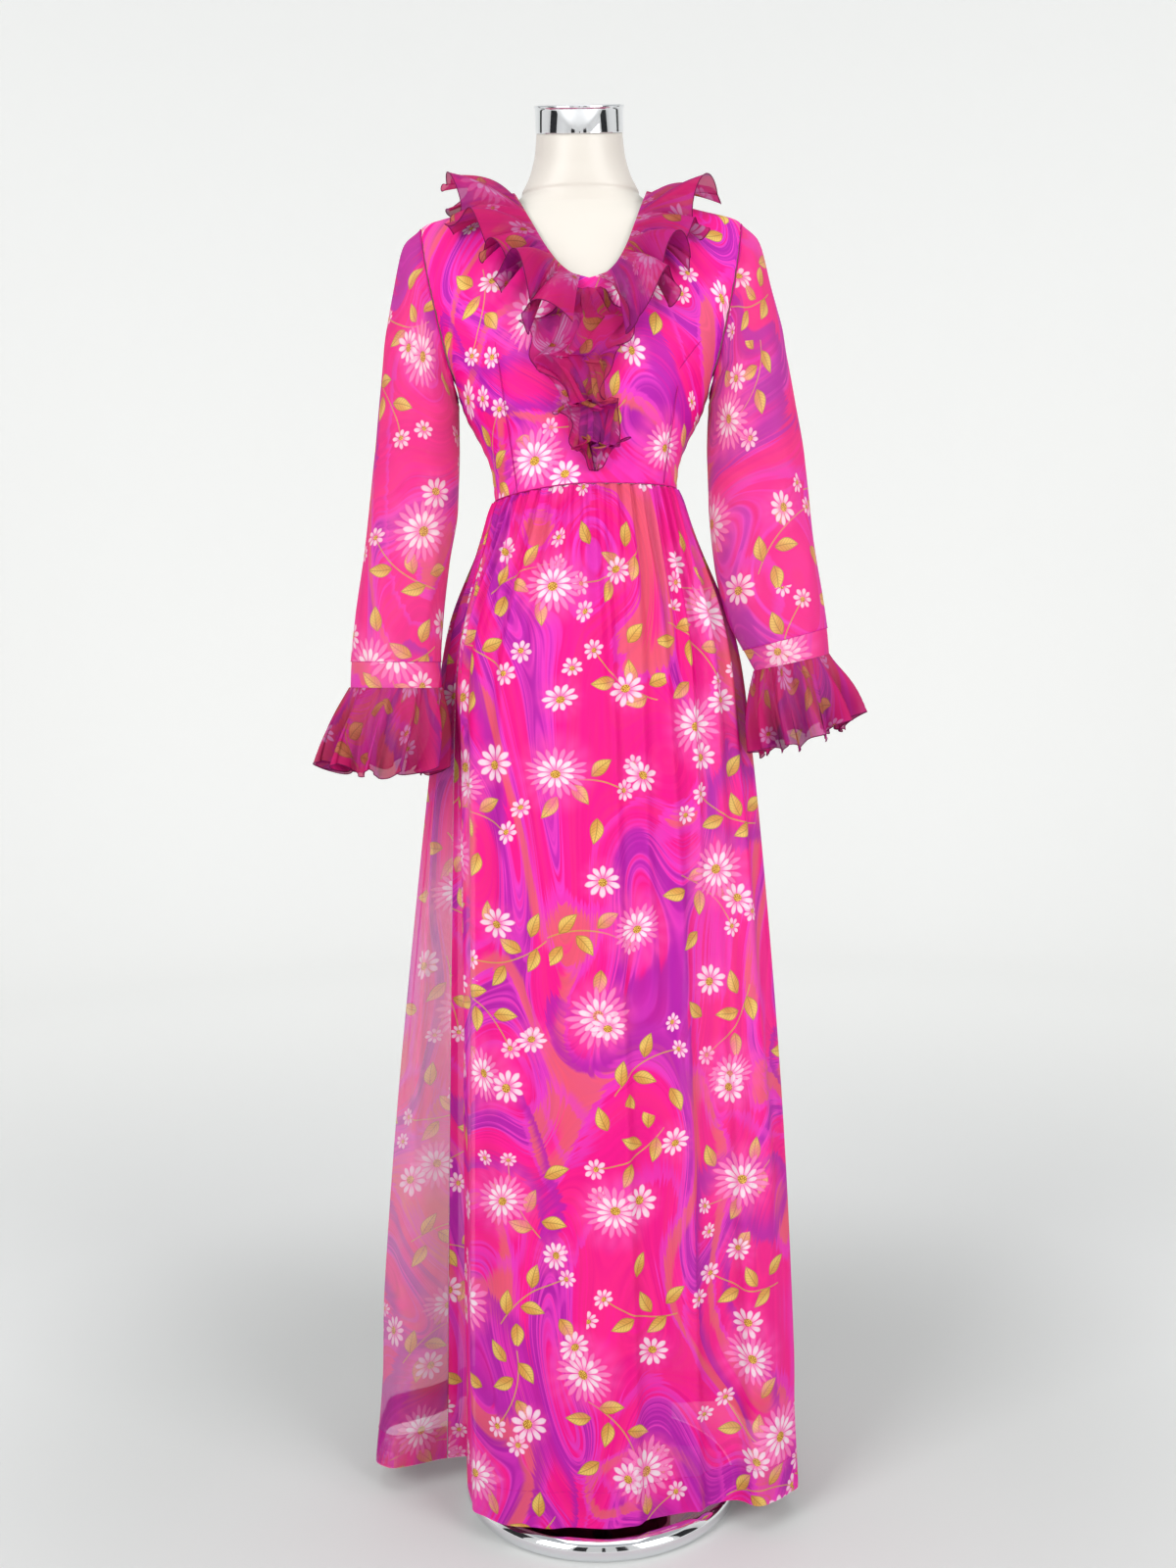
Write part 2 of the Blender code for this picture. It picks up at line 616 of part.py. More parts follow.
def bodice_back(hand, material):
    """One back half, from the zip at centre back to the side seam."""
    middle = ZIP_HALF + ZIP_GAP

    def place(u, v):
        across = 1.0 - u if hand > 0 else u
        top_x = top_edge_x(across)
        top_z = back_neck_z(top_x) if top_x < NECK_X else ridge_z(top_x)
        low_z = waist_z(hand * top_x / SHOULDER_X * WAIST_HALF)
        z = low_z + (top_z - low_z) * climb(v)
        x = top_x / SHOULDER_X * panel_edge_x(z, 1)
        x += (top_x - top_x / SHOULDER_X * panel_edge_x(top_z, 1)) * settled(z, top_z)
        x = middle + x * (1 - middle / panel_edge_x(z, 1))
        if across == 1.0:
            x = panel_edge_x(z, 1)
        return Vector((hand * x, body_y(x, z, 1) + SEAM_GAP / 2, z))

    name = "bodice_back_right" if hand > 0 else "bodice_back_left"
    cloth(name, HALF_COLUMNS, BODICE_ROWS, place, BODICE_WALL, material)


# ---------------------------------------------------------------- sleeves and cuffs

SLEEVE_ALONGS = [0.0, 0.03, 0.07, 0.13, 0.21, 0.31, 0.42, 0.54, 0.66, 0.78, 0.87, BAND_AT - BAND_GAP]
SLEEVE_COLUMNS = 20


def sleeve_ring(side, along, angle):
    """A point of the sleeve: angle 0 is its outer line, and a quarter turn on is its front."""
    rows = SLEEVE[side]
    at = {name: level_curve(rows, "along", name)(along) for name in Section._fields[1:]}
    return section_point(at, angle)


def section_point(at, angle):
    """A point of a section whose outer and inner points and half depth are given by name."""
    outer = Vector((at["outer_x"], at["centre_y"], at["outer_z"]))
    inner = Vector((at["inner_x"], at["centre_y"], at["inner_z"]))
    middle, half = (outer + inner) / 2, (outer - inner) / 2
    return middle + half * math.cos(angle) + Vector((0, -at["half_depth"] * math.sin(angle), 0))


def armhole_point(angle):
    """The sleeve's first ring, which stands just off the bodice's armhole edge."""
    z = (SHOULDER_Z + UNDERARM_Z) / 2 + (SHOULDER_Z - UNDERARM_Z) / 2 * math.cos(angle)
    side = -1 if math.sin(angle) >= 0 else 1
    x = panel_edge_x(min(z, SHOULDER_Z), side)
    if z - UNDERARM_Z < 1e-6:
        x = BODY["half_width"](UNDERARM_Z)
    stand_off = SEAM_GAP + 0.0008 + 0.0024 * abs(math.sin(angle / 2))
    y = body_y(x, z, side) if abs(math.sin(angle)) > 1e-6 else 0.0
    return Vector((x + stand_off, y, z))


def sleeve_point(side, along, angle):
    point = sleeve_ring(side, along, angle)
    fade = max(0.0, 1.0 - along / 0.10)
    return point + (armhole_point(angle) - sleeve_ring(side, 0.0, angle)) * fade


def hand_of(side):
    """1 on the viewer's right and -1 on the left."""
    return 1 if side == "right" else -1


def around(u, hand):
    """The girth angle of a sleeve's column, so that its faces look outward on both sides."""
    return 2 * math.pi * u * -hand


def sleeve(side, material):
    """A sleeve as one tube, from its wrist seam up to the armhole."""
    hand = hand_of(side)
    rows = len(SLEEVE_ALONGS) - 1

    def place(u, v):
        along = SLEEVE_ALONGS[rows - round(v * rows)]
        point = sleeve_point(side, along, around(u, hand))
        return Vector((hand * point.x, point.y, point.z))

    cloth(f"sleeve_{side}", SLEEVE_COLUMNS, rows, place, SLEEVE_WALL, material, closes=True)


def wrist_band(side, material):
    """The straight band between the sleeve and its frill."""
    hand = hand_of(side)

    def place(u, v):
        along = 1.0 - (1.0 - BAND_AT - BAND_GAP) * v
        point = sleeve_point(side, along, around(u, hand))
        return Vector((hand * point.x, point.y, point.z))

    cloth(f"wrist_band_{side}", SLEEVE_COLUMNS, 1, place, SLEEVE_WALL, material, closes=True)


def cuff_frill(side, material):
    """The frill flares from the band, and its waves deepen towards its edge."""
    hand = hand_of(side)
    seam = SLEEVE[side][-1]
    end = CUFF_END[side]
    columns = 4 * CUFF_WAVES

    def place(u, v):
        down = 1.0 - v
        at = {
            name: getattr(seam, name) + (getattr(end, name) - getattr(seam, name)) * down
            for name in Section._fields[1:]
        }
        angle = around(u, hand)
        point = section_point(at, angle)
        centre = (section_point(at, 0.0) + section_point(at, math.pi)) / 2
        wave = math.cos(CUFF_WAVES * angle + 1.4 * down) * (0.0012 + CUFF_WAVE_DEPTH * down)
        point += (point - centre).normalized() * (wave + 0.006 * math.sin(math.pi * down))
        point.z -= SEAM_GAP + 0.0006 - 0.003 * down * math.sin(3 * angle)
        return Vector((hand * point.x, point.y, point.z))

    cloth(f"cuff_frill_{side}", columns, 3, place, FRILL_WALL, material, closes=True)


# ---------------------------------------------------------------- the skirt and its lining

PLAN_SHARES = [fold.share - 1 for fold in FOLDS[-4:]] + [fold.share for fold in FOLDS]
PLAN_SHARES += [fold.share + 1 for fold in FOLDS[:4]]


def plan_curve(column):
    values = [getattr(fold, column) for fold in FOLDS]
    return round_curve(PLAN_SHARES, values[-4:] + values + values[:4])


PLAN = {name: plan_curve(name) for name in Fold._fields[1:]}


def waist_point(share):
    """The gathered edge: the waist's outline, moved out by the depth of the gathers."""
    room = 0.0014 + GATHER_DEPTH
    sizes = [BODY[name](WAIST_Z) + room for name in ("half_width", "front", "back")]
    point = outline_point(2 * math.pi * share, *sizes, BODY["power"](WAIST_Z), 0.0)
    point.z = waist_z(point.x) - SKIRT_DROP
    return point


def skirt_point(share, drop, gather):
    """A point of the skirt: drop is the depth below the waist, gather is 1 on a crest."""
    top = waist_point(share)
    height = top.z - (top.z - HEM_Z) * drop / SKIRT_ROWS[-1]
    hip = Vector((PLAN["hip_x"](share % 1), PLAN["hip_y"](share % 1), 0.0))
    hem = Vector((PLAN["hem_x"](share % 1), PLAN["hem_y"](share % 1), 0.0))
    if height > HIP_Z:
        reach = (top.z - height) / (top.z - HIP_Z)
        spread = reach**1.25 * (1 - reach) + (1 - (1 - reach) ** 1.8) * reach
        plan = Vector((top.x, top.y, 0.0)).lerp(hip, spread)
    else:
        reach = (HIP_Z - height) / (HIP_Z - HEM_Z)
        plan = hip.lerp(hem, reach**0.85)
        plan += plan.normalized() * PLAN["bow"](share % 1) * math.sin(math.pi * reach)
    swell = GATHER_DEPTH * (1 + drop / 0.05) * math.exp(-((drop / 0.11) ** 1.3))
    plan += plan.normalized() * gather * swell
    return Vector((plan.x, plan.y, height))


def skirt_panel(name, first, last, columns, material):
    """A stretch of the skirt between two shares of the girth, two columns to each gather."""
    rows = len(SKIRT_ROWS) - 1

    def place(u, v):
        column = round(u * columns)
        share = first + (last - first) * column / columns
        drop = SKIRT_ROWS[rows - round(v * rows)]
        point = skirt_point(share, drop, -1 if column % 2 else 1)
        edge = {0: 1, columns: -1}.get(column, 0)
        if edge:
            ahead = skirt_point(share + edge * 0.002, drop, 1) - point
            point += ahead.normalized() * edge_gap(share, point.z)
        return point

    cloth(name, columns, rows, place, SKIRT_WALL, material)


def edge_gap(share, z):
    """Half the gap at a seam: the zip's width at centre back, down to its foot."""
    if abs(share - 0.5) > 1e-6:
        return SEAM_GAP
    return ZIP_HALF + ZIP_GAP if z > ZIP_FOOT_Z - 0.008 else 2 * SEAM_GAP


LINING_AT = columns_of(LINING[::-1], "z")


def lining_point(z, angle):
    """A point of the lining's surface at a girth angle."""
    at = {name: curve(z) for name, curve in LINING_AT.items()}
    half_width, half_depth = at["half_width"], at["half_depth"]
    point = outline_point(angle, half_width, half_depth, half_depth, LINING_POWER, z)
    return point + Vector((at["centre_x"], at["centre_y"], 0.0))


def lining(name, first, last, side, material):
    """Half of the lining, on the front (side -1) or the back (side 1)."""

    def place(u, v):
        z = LINING[-1].z + (LINING[0].z - LINING[-1].z) * v
        point = lining_point(z, first + (last - first) * u)
        point.y += side * SEAM_GAP / 2
        return point

    cloth(name, 12, 9, place, LINING_WALL, material)


# ---------------------------------------------------------------- neck frill and jabot


def neck_seam(share, hand):
    """The frill's seam: round the back of the neck, then down the front to the V."""
    if share < BACK_SHARE:
        x = ZIP_CLEAR_X + (NECK_X - ZIP_CLEAR_X) * share / BACK_SHARE
        z, side = back_neck_z(x), 1
        x *= hand
    else:
        down = (share - BACK_SHARE) / (1 - BACK_SHARE)
        z = NECK_Z + (NECK_V_Z + 0.003 - NECK_Z) * down**1.15
        x, side = neckline_x(z, hand), -1
    x, z = min(max(x, -NECK_X + 0.001), NECK_X - 0.001), z - 0.001
    stand = BODICE_WALL + 2 * LAID_GAP
    lift = Vector((0.0, 0.0, 0.0028 * max(0.0, (z - 1.515) / (NECK_Z - 1.515))))
    return Vector((x, body_y(x, z, side), z)) + body_normal(x, z, side) * stand + lift


def clear_of_bodice(point, margin):
    """The point, or the nearest one straight before or behind it that stands off the bodice."""
    z = point.z - margin
    if z > NECK_Z:
        return point
    half_width = BODY["half_width"](z) + margin
    if abs(point.x) >= half_width:
        return point
    side = -1 if point.y < 0 else 1
    depth = BODY["front" if side < 0 else "back"](z) + margin
    limit = outline_depth(point.x, half_width, depth, BODY["power"](z))
    if abs(point.y) < limit:
        point.y = side * limit
    return point


def neck_frill(side, material):
    """Half of the neck frill: its waves swing off the cloth, deeper towards its edge."""
    hand = hand_of(side)
    rows = NECK_FRILL[side]
    edge = {name: round_curve([row.share for row in rows], [getattr(row, name) for row in rows])
            for name in ("x", "y", "z")}

    def outer(share):
        share = min(max(share, 0.0), 1.0)
        return Vector((hand * edge["x"](share), edge["y"](share), edge["z"](share)))

    def place(u, v):
        share = u if hand < 0 else 1.0 - u
        seam, rim = neck_seam(share, hand), outer(share)
        run = (outer(share + 0.01) - outer(share - 0.01)).normalized()
        off = run.cross(rim - seam).normalized() * hand
        phase = 2 * math.pi * NECK_FRILL_WAVES * share
        reach = 1.0 - v
        lift = 0.010 * math.sin(math.pi * reach) + NECK_FRILL_DEPTH * reach**1.2 * math.cos(phase)
        point = seam.lerp(rim, reach) + off * lift
        point += run * 0.006 * reach**1.5 * math.sin(phase)
        margin = BODICE_WALL + 3 * LAID_GAP
        if point.z < FRILL_OVER_Z and reach > 0.05:
            margin += JABOT_ROOM * min(1.0, (FRILL_OVER_Z - point.z) / 0.03)
        return clear_of_bodice(point, margin) if reach > 0 else point

    cloth(f"neck_frill_{side}", 4 * NECK_FRILL_WAVES, 4, place, FRILL_WALL, material)


def jabot(material):
    """The frill that falls from the V, flat at its top and waved below."""
    at = columns_of(JABOT[::-1], "z")
    laid = BODICE_WALL + 2 * LAID_GAP

    def place(u, v):
        z = JABOT[-1].z + (JABOT[0].z - JABOT[-1].z) * v
        left, right = at["left_x"](z), at["right_x"](z)
        x = left + (right - left) * u
        width = right - left
        wave = JABOT_WAVE_DEPTH * min(1.0, width / 0.06) * math.cos(2 * math.pi * JABOT_WAVES * u)
        stand = laid + at["lift"](z) + wave * (1 - v) ** 0.3
        return Vector((x, body_y(x, z, -1) - max(stand, laid), z))

    cloth("jabot", 4 * JABOT_WAVES, 9, place, FRILL_WALL, material)


# ---------------------------------------------------------------- the zip


def back_line(z):
    """The inner surface at centre back, down the bodice and on down the skirt."""
    if z >= WAIST_Z - 0.0002:
        return body_y(0.0, z, 1) + SEAM_GAP / 2
    top = waist_point(0.5).z
    drop = (top - z) / (top - HEM_Z) * SKIRT_ROWS[-1]
    return skirt_point(0.5, max(drop, 0.0), 1).y


def zip_tape(material):
    """The narrow tape that shows between the two edges, from the neck to below the waist."""
    heights = [ZIP_FOOT_Z, 1.075, 1.11, 1.145, 1.172, 1.190, 1.205, 1.24, 1.28, 1.32, 1.36, 1.40]
    heights += [1.435, 1.462, SLIDER_Z - SLIDER_SEAT, SLIDER_Z + SLIDER_SEAT, ZIP_TOP_Z]

    def place(u, v):
        z = heights[round(v * (len(heights) - 1))]
        return Vector((ZIP_HALF * (1 - 2 * u), back_line(z), z))

    cloth("zip_tape", 2, len(heights) - 1, place, BODICE_WALL, material)


def box(bm, size, centre, turn):
    """A box of a size, moved to a centre and then turned about the origin."""
    made = bmesh.ops.create_cube(bm, size=1.0)["verts"]
    for vert in made:
        scaled = Vector((vert.co.x * size[0], vert.co.y * size[1], vert.co.z * size[2]))
        vert.co = turn @ (scaled + Vector(centre))


def zip_frame():
    """Where the slider sits on the tape, and how far the back leans there."""
    low, high = back_line(SLIDER_Z - SLIDER_SEAT), back_line(SLIDER_Z + SLIDER_SEAT)
    lean = math.atan((low - high) / (2 * SLIDER_SEAT))
    normal = Vector((0.0, math.cos(lean), math.sin(lean)))
    return Vector((0.0, (low + high) / 2, SLIDER_Z)) + normal * BODICE_WALL, lean


def zip_slider(material):
    """The slider's plate, with a bridge of two lugs that the pull hangs between."""
    place, lean = zip_frame()
    turn = Matrix.Rotation(lean, 3, "X")
    bm = bmesh.new()
    box(bm, (0.0066, 0.0022, 0.0100), (0.0, 0.0015, -0.0010), turn)
    obj = add_object("zip_slider", bm, material, smooth=False)
    obj.location = place
    for hand in (-1, 1):
        lug_mesh = bmesh.new()
        box(lug_mesh, (0.0011, 0.0040, 0.0030), (hand * 0.0024, 0.0040, 0.0), turn)
        lug = add_object(f"lug_{hand}", lug_mesh, material, smooth=False)
        lug.location = place
        lug.hide_render = True
        lug.display_type = "WIRE"
        dress.objects.unlink(lug)
        helpers.objects.link(lug)
        join = obj.modifiers.new(f"Lug {hand}", "BOOLEAN")
        join.operation = "UNION"
        join.object = lug


def zip_pull(material):
    """The pull tab, whose origin is on its hinge axis. It lies on the back, just clear of it."""
    place, lean = zip_frame()
    axis = place + Matrix.Rotation(lean, 3, "X") @ Vector((0.0, PULL_OUT, 0.0))
    slant = 0.0
    for share in (0.5, 0.75, 1.0):
        drop = PULL_LENGTH * share
        cover = back_line(axis.z - drop) + BODICE_WALL + PULL_REST
        slant = max(slant, math.atan((cover - axis.y) / drop))
    bm = bmesh.new()
    box(bm, (0.0030, 0.0010, PULL_LENGTH), (0.0, 0.0, 0.0007 - PULL_LENGTH / 2), Matrix.Identity(3))
    obj = add_object("zip_pull", bm, material, smooth=False)
    obj.location = axis
    obj.rotation_euler = (slant, 0.0, 0.0)


def main():
    clear_scene()

    pink = finish_of("printed_chiffon", (0.86, 0.02, 0.42), 0.55)
    sleeve_pink = finish_of("printed_chiffon_sleeve", (0.88, 0.12, 0.45), 0.55)
    frill_plum = finish_of("single_chiffon", (0.52, 0.02, 0.36), 0.60)
    sheer = finish_of("sheer_chiffon", (0.80, 0.05, 0.50), 0.60)
    hot_pink = finish_of("lining_cloth", (0.90, 0.01, 0.30), 0.50)
    white = finish_of("form_shell", (0.86, 0.84, 0.80), 0.45)
    chrome = finish_of("chrome", (0.82, 0.82, 0.84), 0.08, 1.0)
    zip_cloth = finish_of("zip_tape_cloth", (0.70, 0.02, 0.32), 0.60)
    zip_metal = finish_of("zip_metal", (0.75, 0.72, 0.68), 0.25, 1.0)

    form_base(chrome)
    form_pole(chrome)
    form_bust(white)
    form_cap(chrome)

    bodice_front(pink)
    bodice_back(-1, pink)
    bodice_back(1, pink)
    for side in ("left", "right"):
        sleeve(side, sleeve_pink)
        wrist_band(side, sleeve_pink)
        cuff_frill(side, frill_plum)
        neck_frill(side, frill_plum)
    jabot(frill_plum)

    per_share = 2 * GATHERS
    front_columns = round((RIGHT_SEAM_SHARE + 1 - LEFT_SEAM_SHARE) * per_share / 2) * 2
    right_columns = round((0.5 - RIGHT_SEAM_SHARE) * per_share / 2) * 2
    left_columns = round((LEFT_SEAM_SHARE - 0.5) * per_share / 2) * 2
    skirt_panel("skirt_front", LEFT_SEAM_SHARE - 1, RIGHT_SEAM_SHARE, front_columns, sheer)
    skirt_panel("skirt_back_right", RIGHT_SEAM_SHARE, 0.5, right_columns, sheer)
    skirt_panel("skirt_back_left", 0.5, LEFT_SEAM_SHARE, left_columns, sheer)
    lining("lining_front", -math.pi / 2, math.pi / 2, -1, hot_pink)
    lining("lining_back", math.pi / 2, 3 * math.pi / 2, 1, hot_pink)

    zip_tape(zip_cloth)
    zip_slider(zip_metal)
    zip_pull(zip_metal)


main()
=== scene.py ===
# %% [markdown]
# # A gathered maxi dress on a dress form
#
# The real thing is a long dress of printed silk chiffon: a fitted bodice with a frilled V-neck,
# long sleeves that end in frilled cuffs, and a sheer gathered skirt over a narrow lining. It hangs
# on a white form without limbs, with a chrome neck cap and a chrome base.
#
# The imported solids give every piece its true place. This script makes the looks: each cloth piece
# becomes a thin sheet on the surface of its solid, with the finer folds, and a printed material.

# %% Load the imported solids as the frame
import json
import math
from collections import namedtuple

import bpy
import numpy as np
from mathutils import Matrix, Vector

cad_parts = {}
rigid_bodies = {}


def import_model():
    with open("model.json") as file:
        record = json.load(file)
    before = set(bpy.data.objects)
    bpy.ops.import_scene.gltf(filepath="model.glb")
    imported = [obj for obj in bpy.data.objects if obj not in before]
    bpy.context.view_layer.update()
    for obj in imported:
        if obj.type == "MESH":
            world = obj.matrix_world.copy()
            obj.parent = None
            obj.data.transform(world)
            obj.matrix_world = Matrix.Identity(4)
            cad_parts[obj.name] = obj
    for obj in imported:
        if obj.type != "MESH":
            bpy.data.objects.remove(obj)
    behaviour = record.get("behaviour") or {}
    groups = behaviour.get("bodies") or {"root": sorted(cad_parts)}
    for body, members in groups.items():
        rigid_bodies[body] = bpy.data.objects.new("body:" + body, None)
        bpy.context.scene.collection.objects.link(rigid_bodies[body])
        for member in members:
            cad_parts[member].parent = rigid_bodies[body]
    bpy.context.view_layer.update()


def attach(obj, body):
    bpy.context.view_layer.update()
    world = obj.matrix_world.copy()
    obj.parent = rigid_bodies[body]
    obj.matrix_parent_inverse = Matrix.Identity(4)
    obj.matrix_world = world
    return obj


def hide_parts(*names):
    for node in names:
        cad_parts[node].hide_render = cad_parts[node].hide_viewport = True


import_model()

# %% [markdown]
# ## Camera
#
# The photo was taken from waist height, a little to the left, with the camera tipped down 4.65
# degrees and rolled by not quite a degree. Those numbers come from the two ellipses that the photo
# shows, the rim of the base and the top of the neck. A camera object looks along its own -Z, so it
# is turned up from straight down by 90 degrees less the tip, and the roll goes round its own axis.

# %% Camera
CAMERA_PLACE = (-0.0025, -1.8011, 1.0067)
CAMERA_TIP = math.radians(4.65)
CAMERA_ROLL = math.radians(0.949)

camera_data = bpy.data.cameras.new("photo_view")
camera_data.lens = 35.33
camera_data.sensor_width = 36.0
camera = bpy.data.objects.new("photo_view", camera_data)
bpy.context.scene.collection.objects.link(camera)
upright = Matrix.Rotation(math.pi / 2 - CAMERA_TIP, 4, "X")
camera.matrix_world = (
    Matrix.Translation(CAMERA_PLACE) @ upright @ Matrix.Rotation(-CAMERA_ROLL, 4, "Z")
)
bpy.context.scene.camera = camera

# %% [markdown]
# ## Studio
#
# A photographer's sweep is one pale sheet that runs along the floor and curves up behind the
# subject, so no line parts floor from wall. This one is a bowl that goes all the way round, because
# the dress is looked at from all sides. It is a profile of points turned round the middle, wide
# enough for every camera to stand inside. Two wide softboxes stand to the left and the right of the
# camera and a third hangs above. The chrome needs something dark to reflect, so black cards stand
# upright behind the camera and at the sides. Lights and cards show only in reflections.

# %% Sweep
SWEEP_RADIUS = 4.2
SWEEP_TURN = 0.9
SWEEP_TOP = 5.0
SWEEP_SIDES = 96


def link(obj):
    bpy.context.scene.collection.objects.link(obj)
    return obj


def sweep_profile():
    """Points of (radius, z) from the middle of the floor to the top of the wall."""
    turn = [math.pi / 2 * i / 16 for i in range(17)]
    flat = SWEEP_RADIUS - SWEEP_TURN
    corner = [(flat + SWEEP_TURN * math.sin(a), SWEEP_TURN * (1 - math.cos(a))) for a in turn]
    return [(0.01, 0.0), (1.0, 0.0)] + corner + [(SWEEP_RADIUS, SWEEP_TOP)]


profile = sweep_profile()
turns = [2 * math.pi * i / SWEEP_SIDES for i in range(SWEEP_SIDES)]
corners = [(r * math.cos(a), r * math.sin(a), z) for r, z in profile for a in turns]
panels = [
    (
        row + i, row + (i + 1) % SWEEP_SIDES, row + SWEEP_SIDES + (i + 1) % SWEEP_SIDES,
        row + SWEEP_SIDES + i
    )
    for row in range(0, SWEEP_SIDES * (len(profile) - 1), SWEEP_SIDES)
    for i in range(SWEEP_SIDES)
]
sweep_mesh = bpy.data.meshes.new("sweep")
sweep_mesh.from_pydata(corners, [], panels)
sweep_mesh.shade_smooth()
sweep = link(bpy.data.objects.new("sweep", sweep_mesh))

# %% Lights
Softbox = namedtuple("Softbox", "name place aim width height watts")
SOFTBOXES = [
    Softbox("left_box", (-1.9, -2.3, 1.9), (0.0, 0.0, 1.0), 1.5, 2.2, 58.0),
    Softbox("right_box", (2.0, -2.2, 1.6), (0.0, 0.0, 0.9), 1.5, 2.2, 50.0),
    Softbox("top_box", (0.0, -0.6, 3.3), (0.0, 0.1, 0.8), 2.4, 1.6, 14.0),
]


def add_softbox(box):
    light = bpy.data.lights.new(box.name, "AREA")
    light.shape = "RECTANGLE"
    light.size, light.size_y = box.width, box.height
    light.energy = box.watts
    lamp = link(bpy.data.objects.new(box.name, light))
    aim = Vector(box.aim) - Vector(box.place)
    lamp.visible_camera = False
    lamp.matrix_world = (
        Matrix.Translation(box.place) @ aim.to_track_quat("-Z", "Y").to_matrix().to_4x4()
    )


for box in SOFTBOXES:
    add_softbox(box)
bpy.context.scene.view_settings.view_transform = "Standard"

ROOM_COLOUR, ROOM_STRENGTH = (0.93, 0.97, 1.0, 1.0), 0.53
room = bpy.data.worlds.new("white_room")
room.use_nodes = True
air = room.node_tree.nodes["Background"]
air.inputs["Color"].default_value = ROOM_COLOUR
air.inputs["Strength"].default_value = ROOM_STRENGTH
bpy.context.scene.world = room

# Thin cloth lets many rays through, and a few bounces are all that it shows.
cycles = bpy.context.scene.cycles
cycles.max_bounces, cycles.diffuse_bounces, cycles.glossy_bounces = 4, 1, 2
cycles.transmission_bounces, cycles.transparent_max_bounces = 1, 8

# %% Black cards
Card = namedtuple("Card", "x y z width height")
CARDS = [
    Card(-0.95, -3.0, 1.5, 0.56, 2.4),
    Card(0.04, -3.3, 1.5, 0.16, 2.4),
    Card(0.80, -3.0, 1.5, 0.46, 2.4),
    Card(-3.0, -0.9, 1.5, 1.10, 2.4),
    Card(3.0, -1.1, 1.5, 1.00, 2.4),
    Card(-2.9, 1.6, 1.5, 0.50, 2.4),
    Card(2.9, 1.5, 1.5, 0.50, 2.4),
]


def plain_paint(name, colour, roughness):
    finish = bpy.data.materials.new(name)
    finish.use_nodes = True
    shader = finish.node_tree.nodes["Principled BSDF"]
    shader.inputs["Base Color"].default_value = (*colour, 1.0)
    shader.inputs["Roughness"].default_value = roughness
    return finish


card_black = plain_paint("card_black", (0.01, 0.01, 0.012), 0.8)
for number, card in enumerate(CARDS):
    card_mesh = bpy.data.meshes.new(f"card_{number}")
    half, low, high = card.width / 2, card.z - card.height / 2, card.z + card.height / 2
    across = Vector((-card.y, card.x, 0.0)).normalized() * half
    foot, head = Vector((card.x, card.y, low)), Vector((card.x, card.y, high))
    card_mesh.from_pydata(
        [foot - across, foot + across, head + across, head - across], [], [(0, 1, 2, 3)]
    )
    card_mesh.materials.append(card_black)
    stand = link(bpy.data.objects.new(f"card_{number}", card_mesh))
    stand.visible_camera = False

# %% [markdown]
# ## Shader sums in plain Python
#
# A node tree is easier to read as a sum. `Ink` wraps one output socket, and Python's own signs add
# the nodes: numbers go through Math nodes, vectors and colours through Vector Math and Mix. Every
# other node comes from the method `node`, which sets the node's settings first and its sockets
# next.


# %% The socket wrapper
class Ink:
    """One output socket of a material that can be used in plain Python sums."""

    def __init__(self, tree, socket):
        self.tree = tree
        self.socket = socket

    def node(self, kind, settings=None, sockets=None, out=0):
        made = self.tree.nodes.new("ShaderNode" + kind)
        for name, value in (settings or {}).items():
            if name == "stops":
                set_stops(made.color_ramp, value)
            else:
                setattr(made, name, value)
        for key, value in (sockets or {}).items():
            if isinstance(value, Ink):
                self.tree.links.new(value.socket, made.inputs[key])
            else:
                made.inputs[key].default_value = value
        return Ink(self.tree, made.outputs[out])

    def also(self, name):
        """Another output of the node that this socket belongs to."""
        return Ink(self.tree, self.socket.node.outputs[name])

    def sum_with(self, operation, other, swapped=False):
        first, second = (other, self) if swapped else (self, other)
        if "vector" in (shape_of(first), shape_of(second)):
            return self.node(
                "VectorMath", {"operation": operation}, {0: widened(first), 1: widened(second)}
            )
        return self.node("Math", {"operation": operation}, {0: first, 1: second})

    def __add__(self, other):
        return self.sum_with("ADD", other)

    def __radd__(self, other):
        return self.sum_with("ADD", other, True)

    def __sub__(self, other):
        return self.sum_with("SUBTRACT", other)

    def __rsub__(self, other):
        return self.sum_with("SUBTRACT", other, True)

    def __mul__(self, other):
        return self.sum_with("MULTIPLY", other)

    def __rmul__(self, other):
        return self.sum_with("MULTIPLY", other, True)

    def __truediv__(self, other):
        return self.sum_with("DIVIDE", other)

    def __rtruediv__(self, other):
        return self.sum_with("DIVIDE", other, True)

    def __pow__(self, other):
        return self.sum_with("POWER", other)

    def math(self, operation, *others):
        sockets = dict(enumerate((self, *others)))
        return self.node("Math", {"operation": operation}, sockets)

    def part(self, axis):
        """The X, Y or Z of a vector."""
        return self.node("SeparateXYZ", None, {0: self}, axis)


def shape_of(value):
    if isinstance(value, Ink):
        return "number" if value.socket.type == "VALUE" else "vector"
    return "vector" if isinstance(value, tuple) else "number"


def widened(value):
    return (value, value, value) if isinstance(value, (int, float)) else value


def set_stops(ramp, stops):
    for place, colour in stops[2:]:
        ramp.elements.new(place)
    for element, (place, colour) in zip(ramp.elements, stops):
        element.position = place
        element.color = (*colour, 1.0)


def rise(value, low, high):
    """0 below low, 1 above high, and a smooth step between."""
    sockets = {"Value": value, "From Min": low, "From Max": high}
    return value.node("MapRange", {"interpolation_type": "SMOOTHSTEP"}, sockets)


def over(mask, colour, ground):
    """The colour where mask is 1, the ground where it is 0."""
    sockets = {0: mask, 6: paint(ground), 7: paint(colour)}
    return mask.node("Mix", {"data_type": "RGBA"}, sockets, 2)


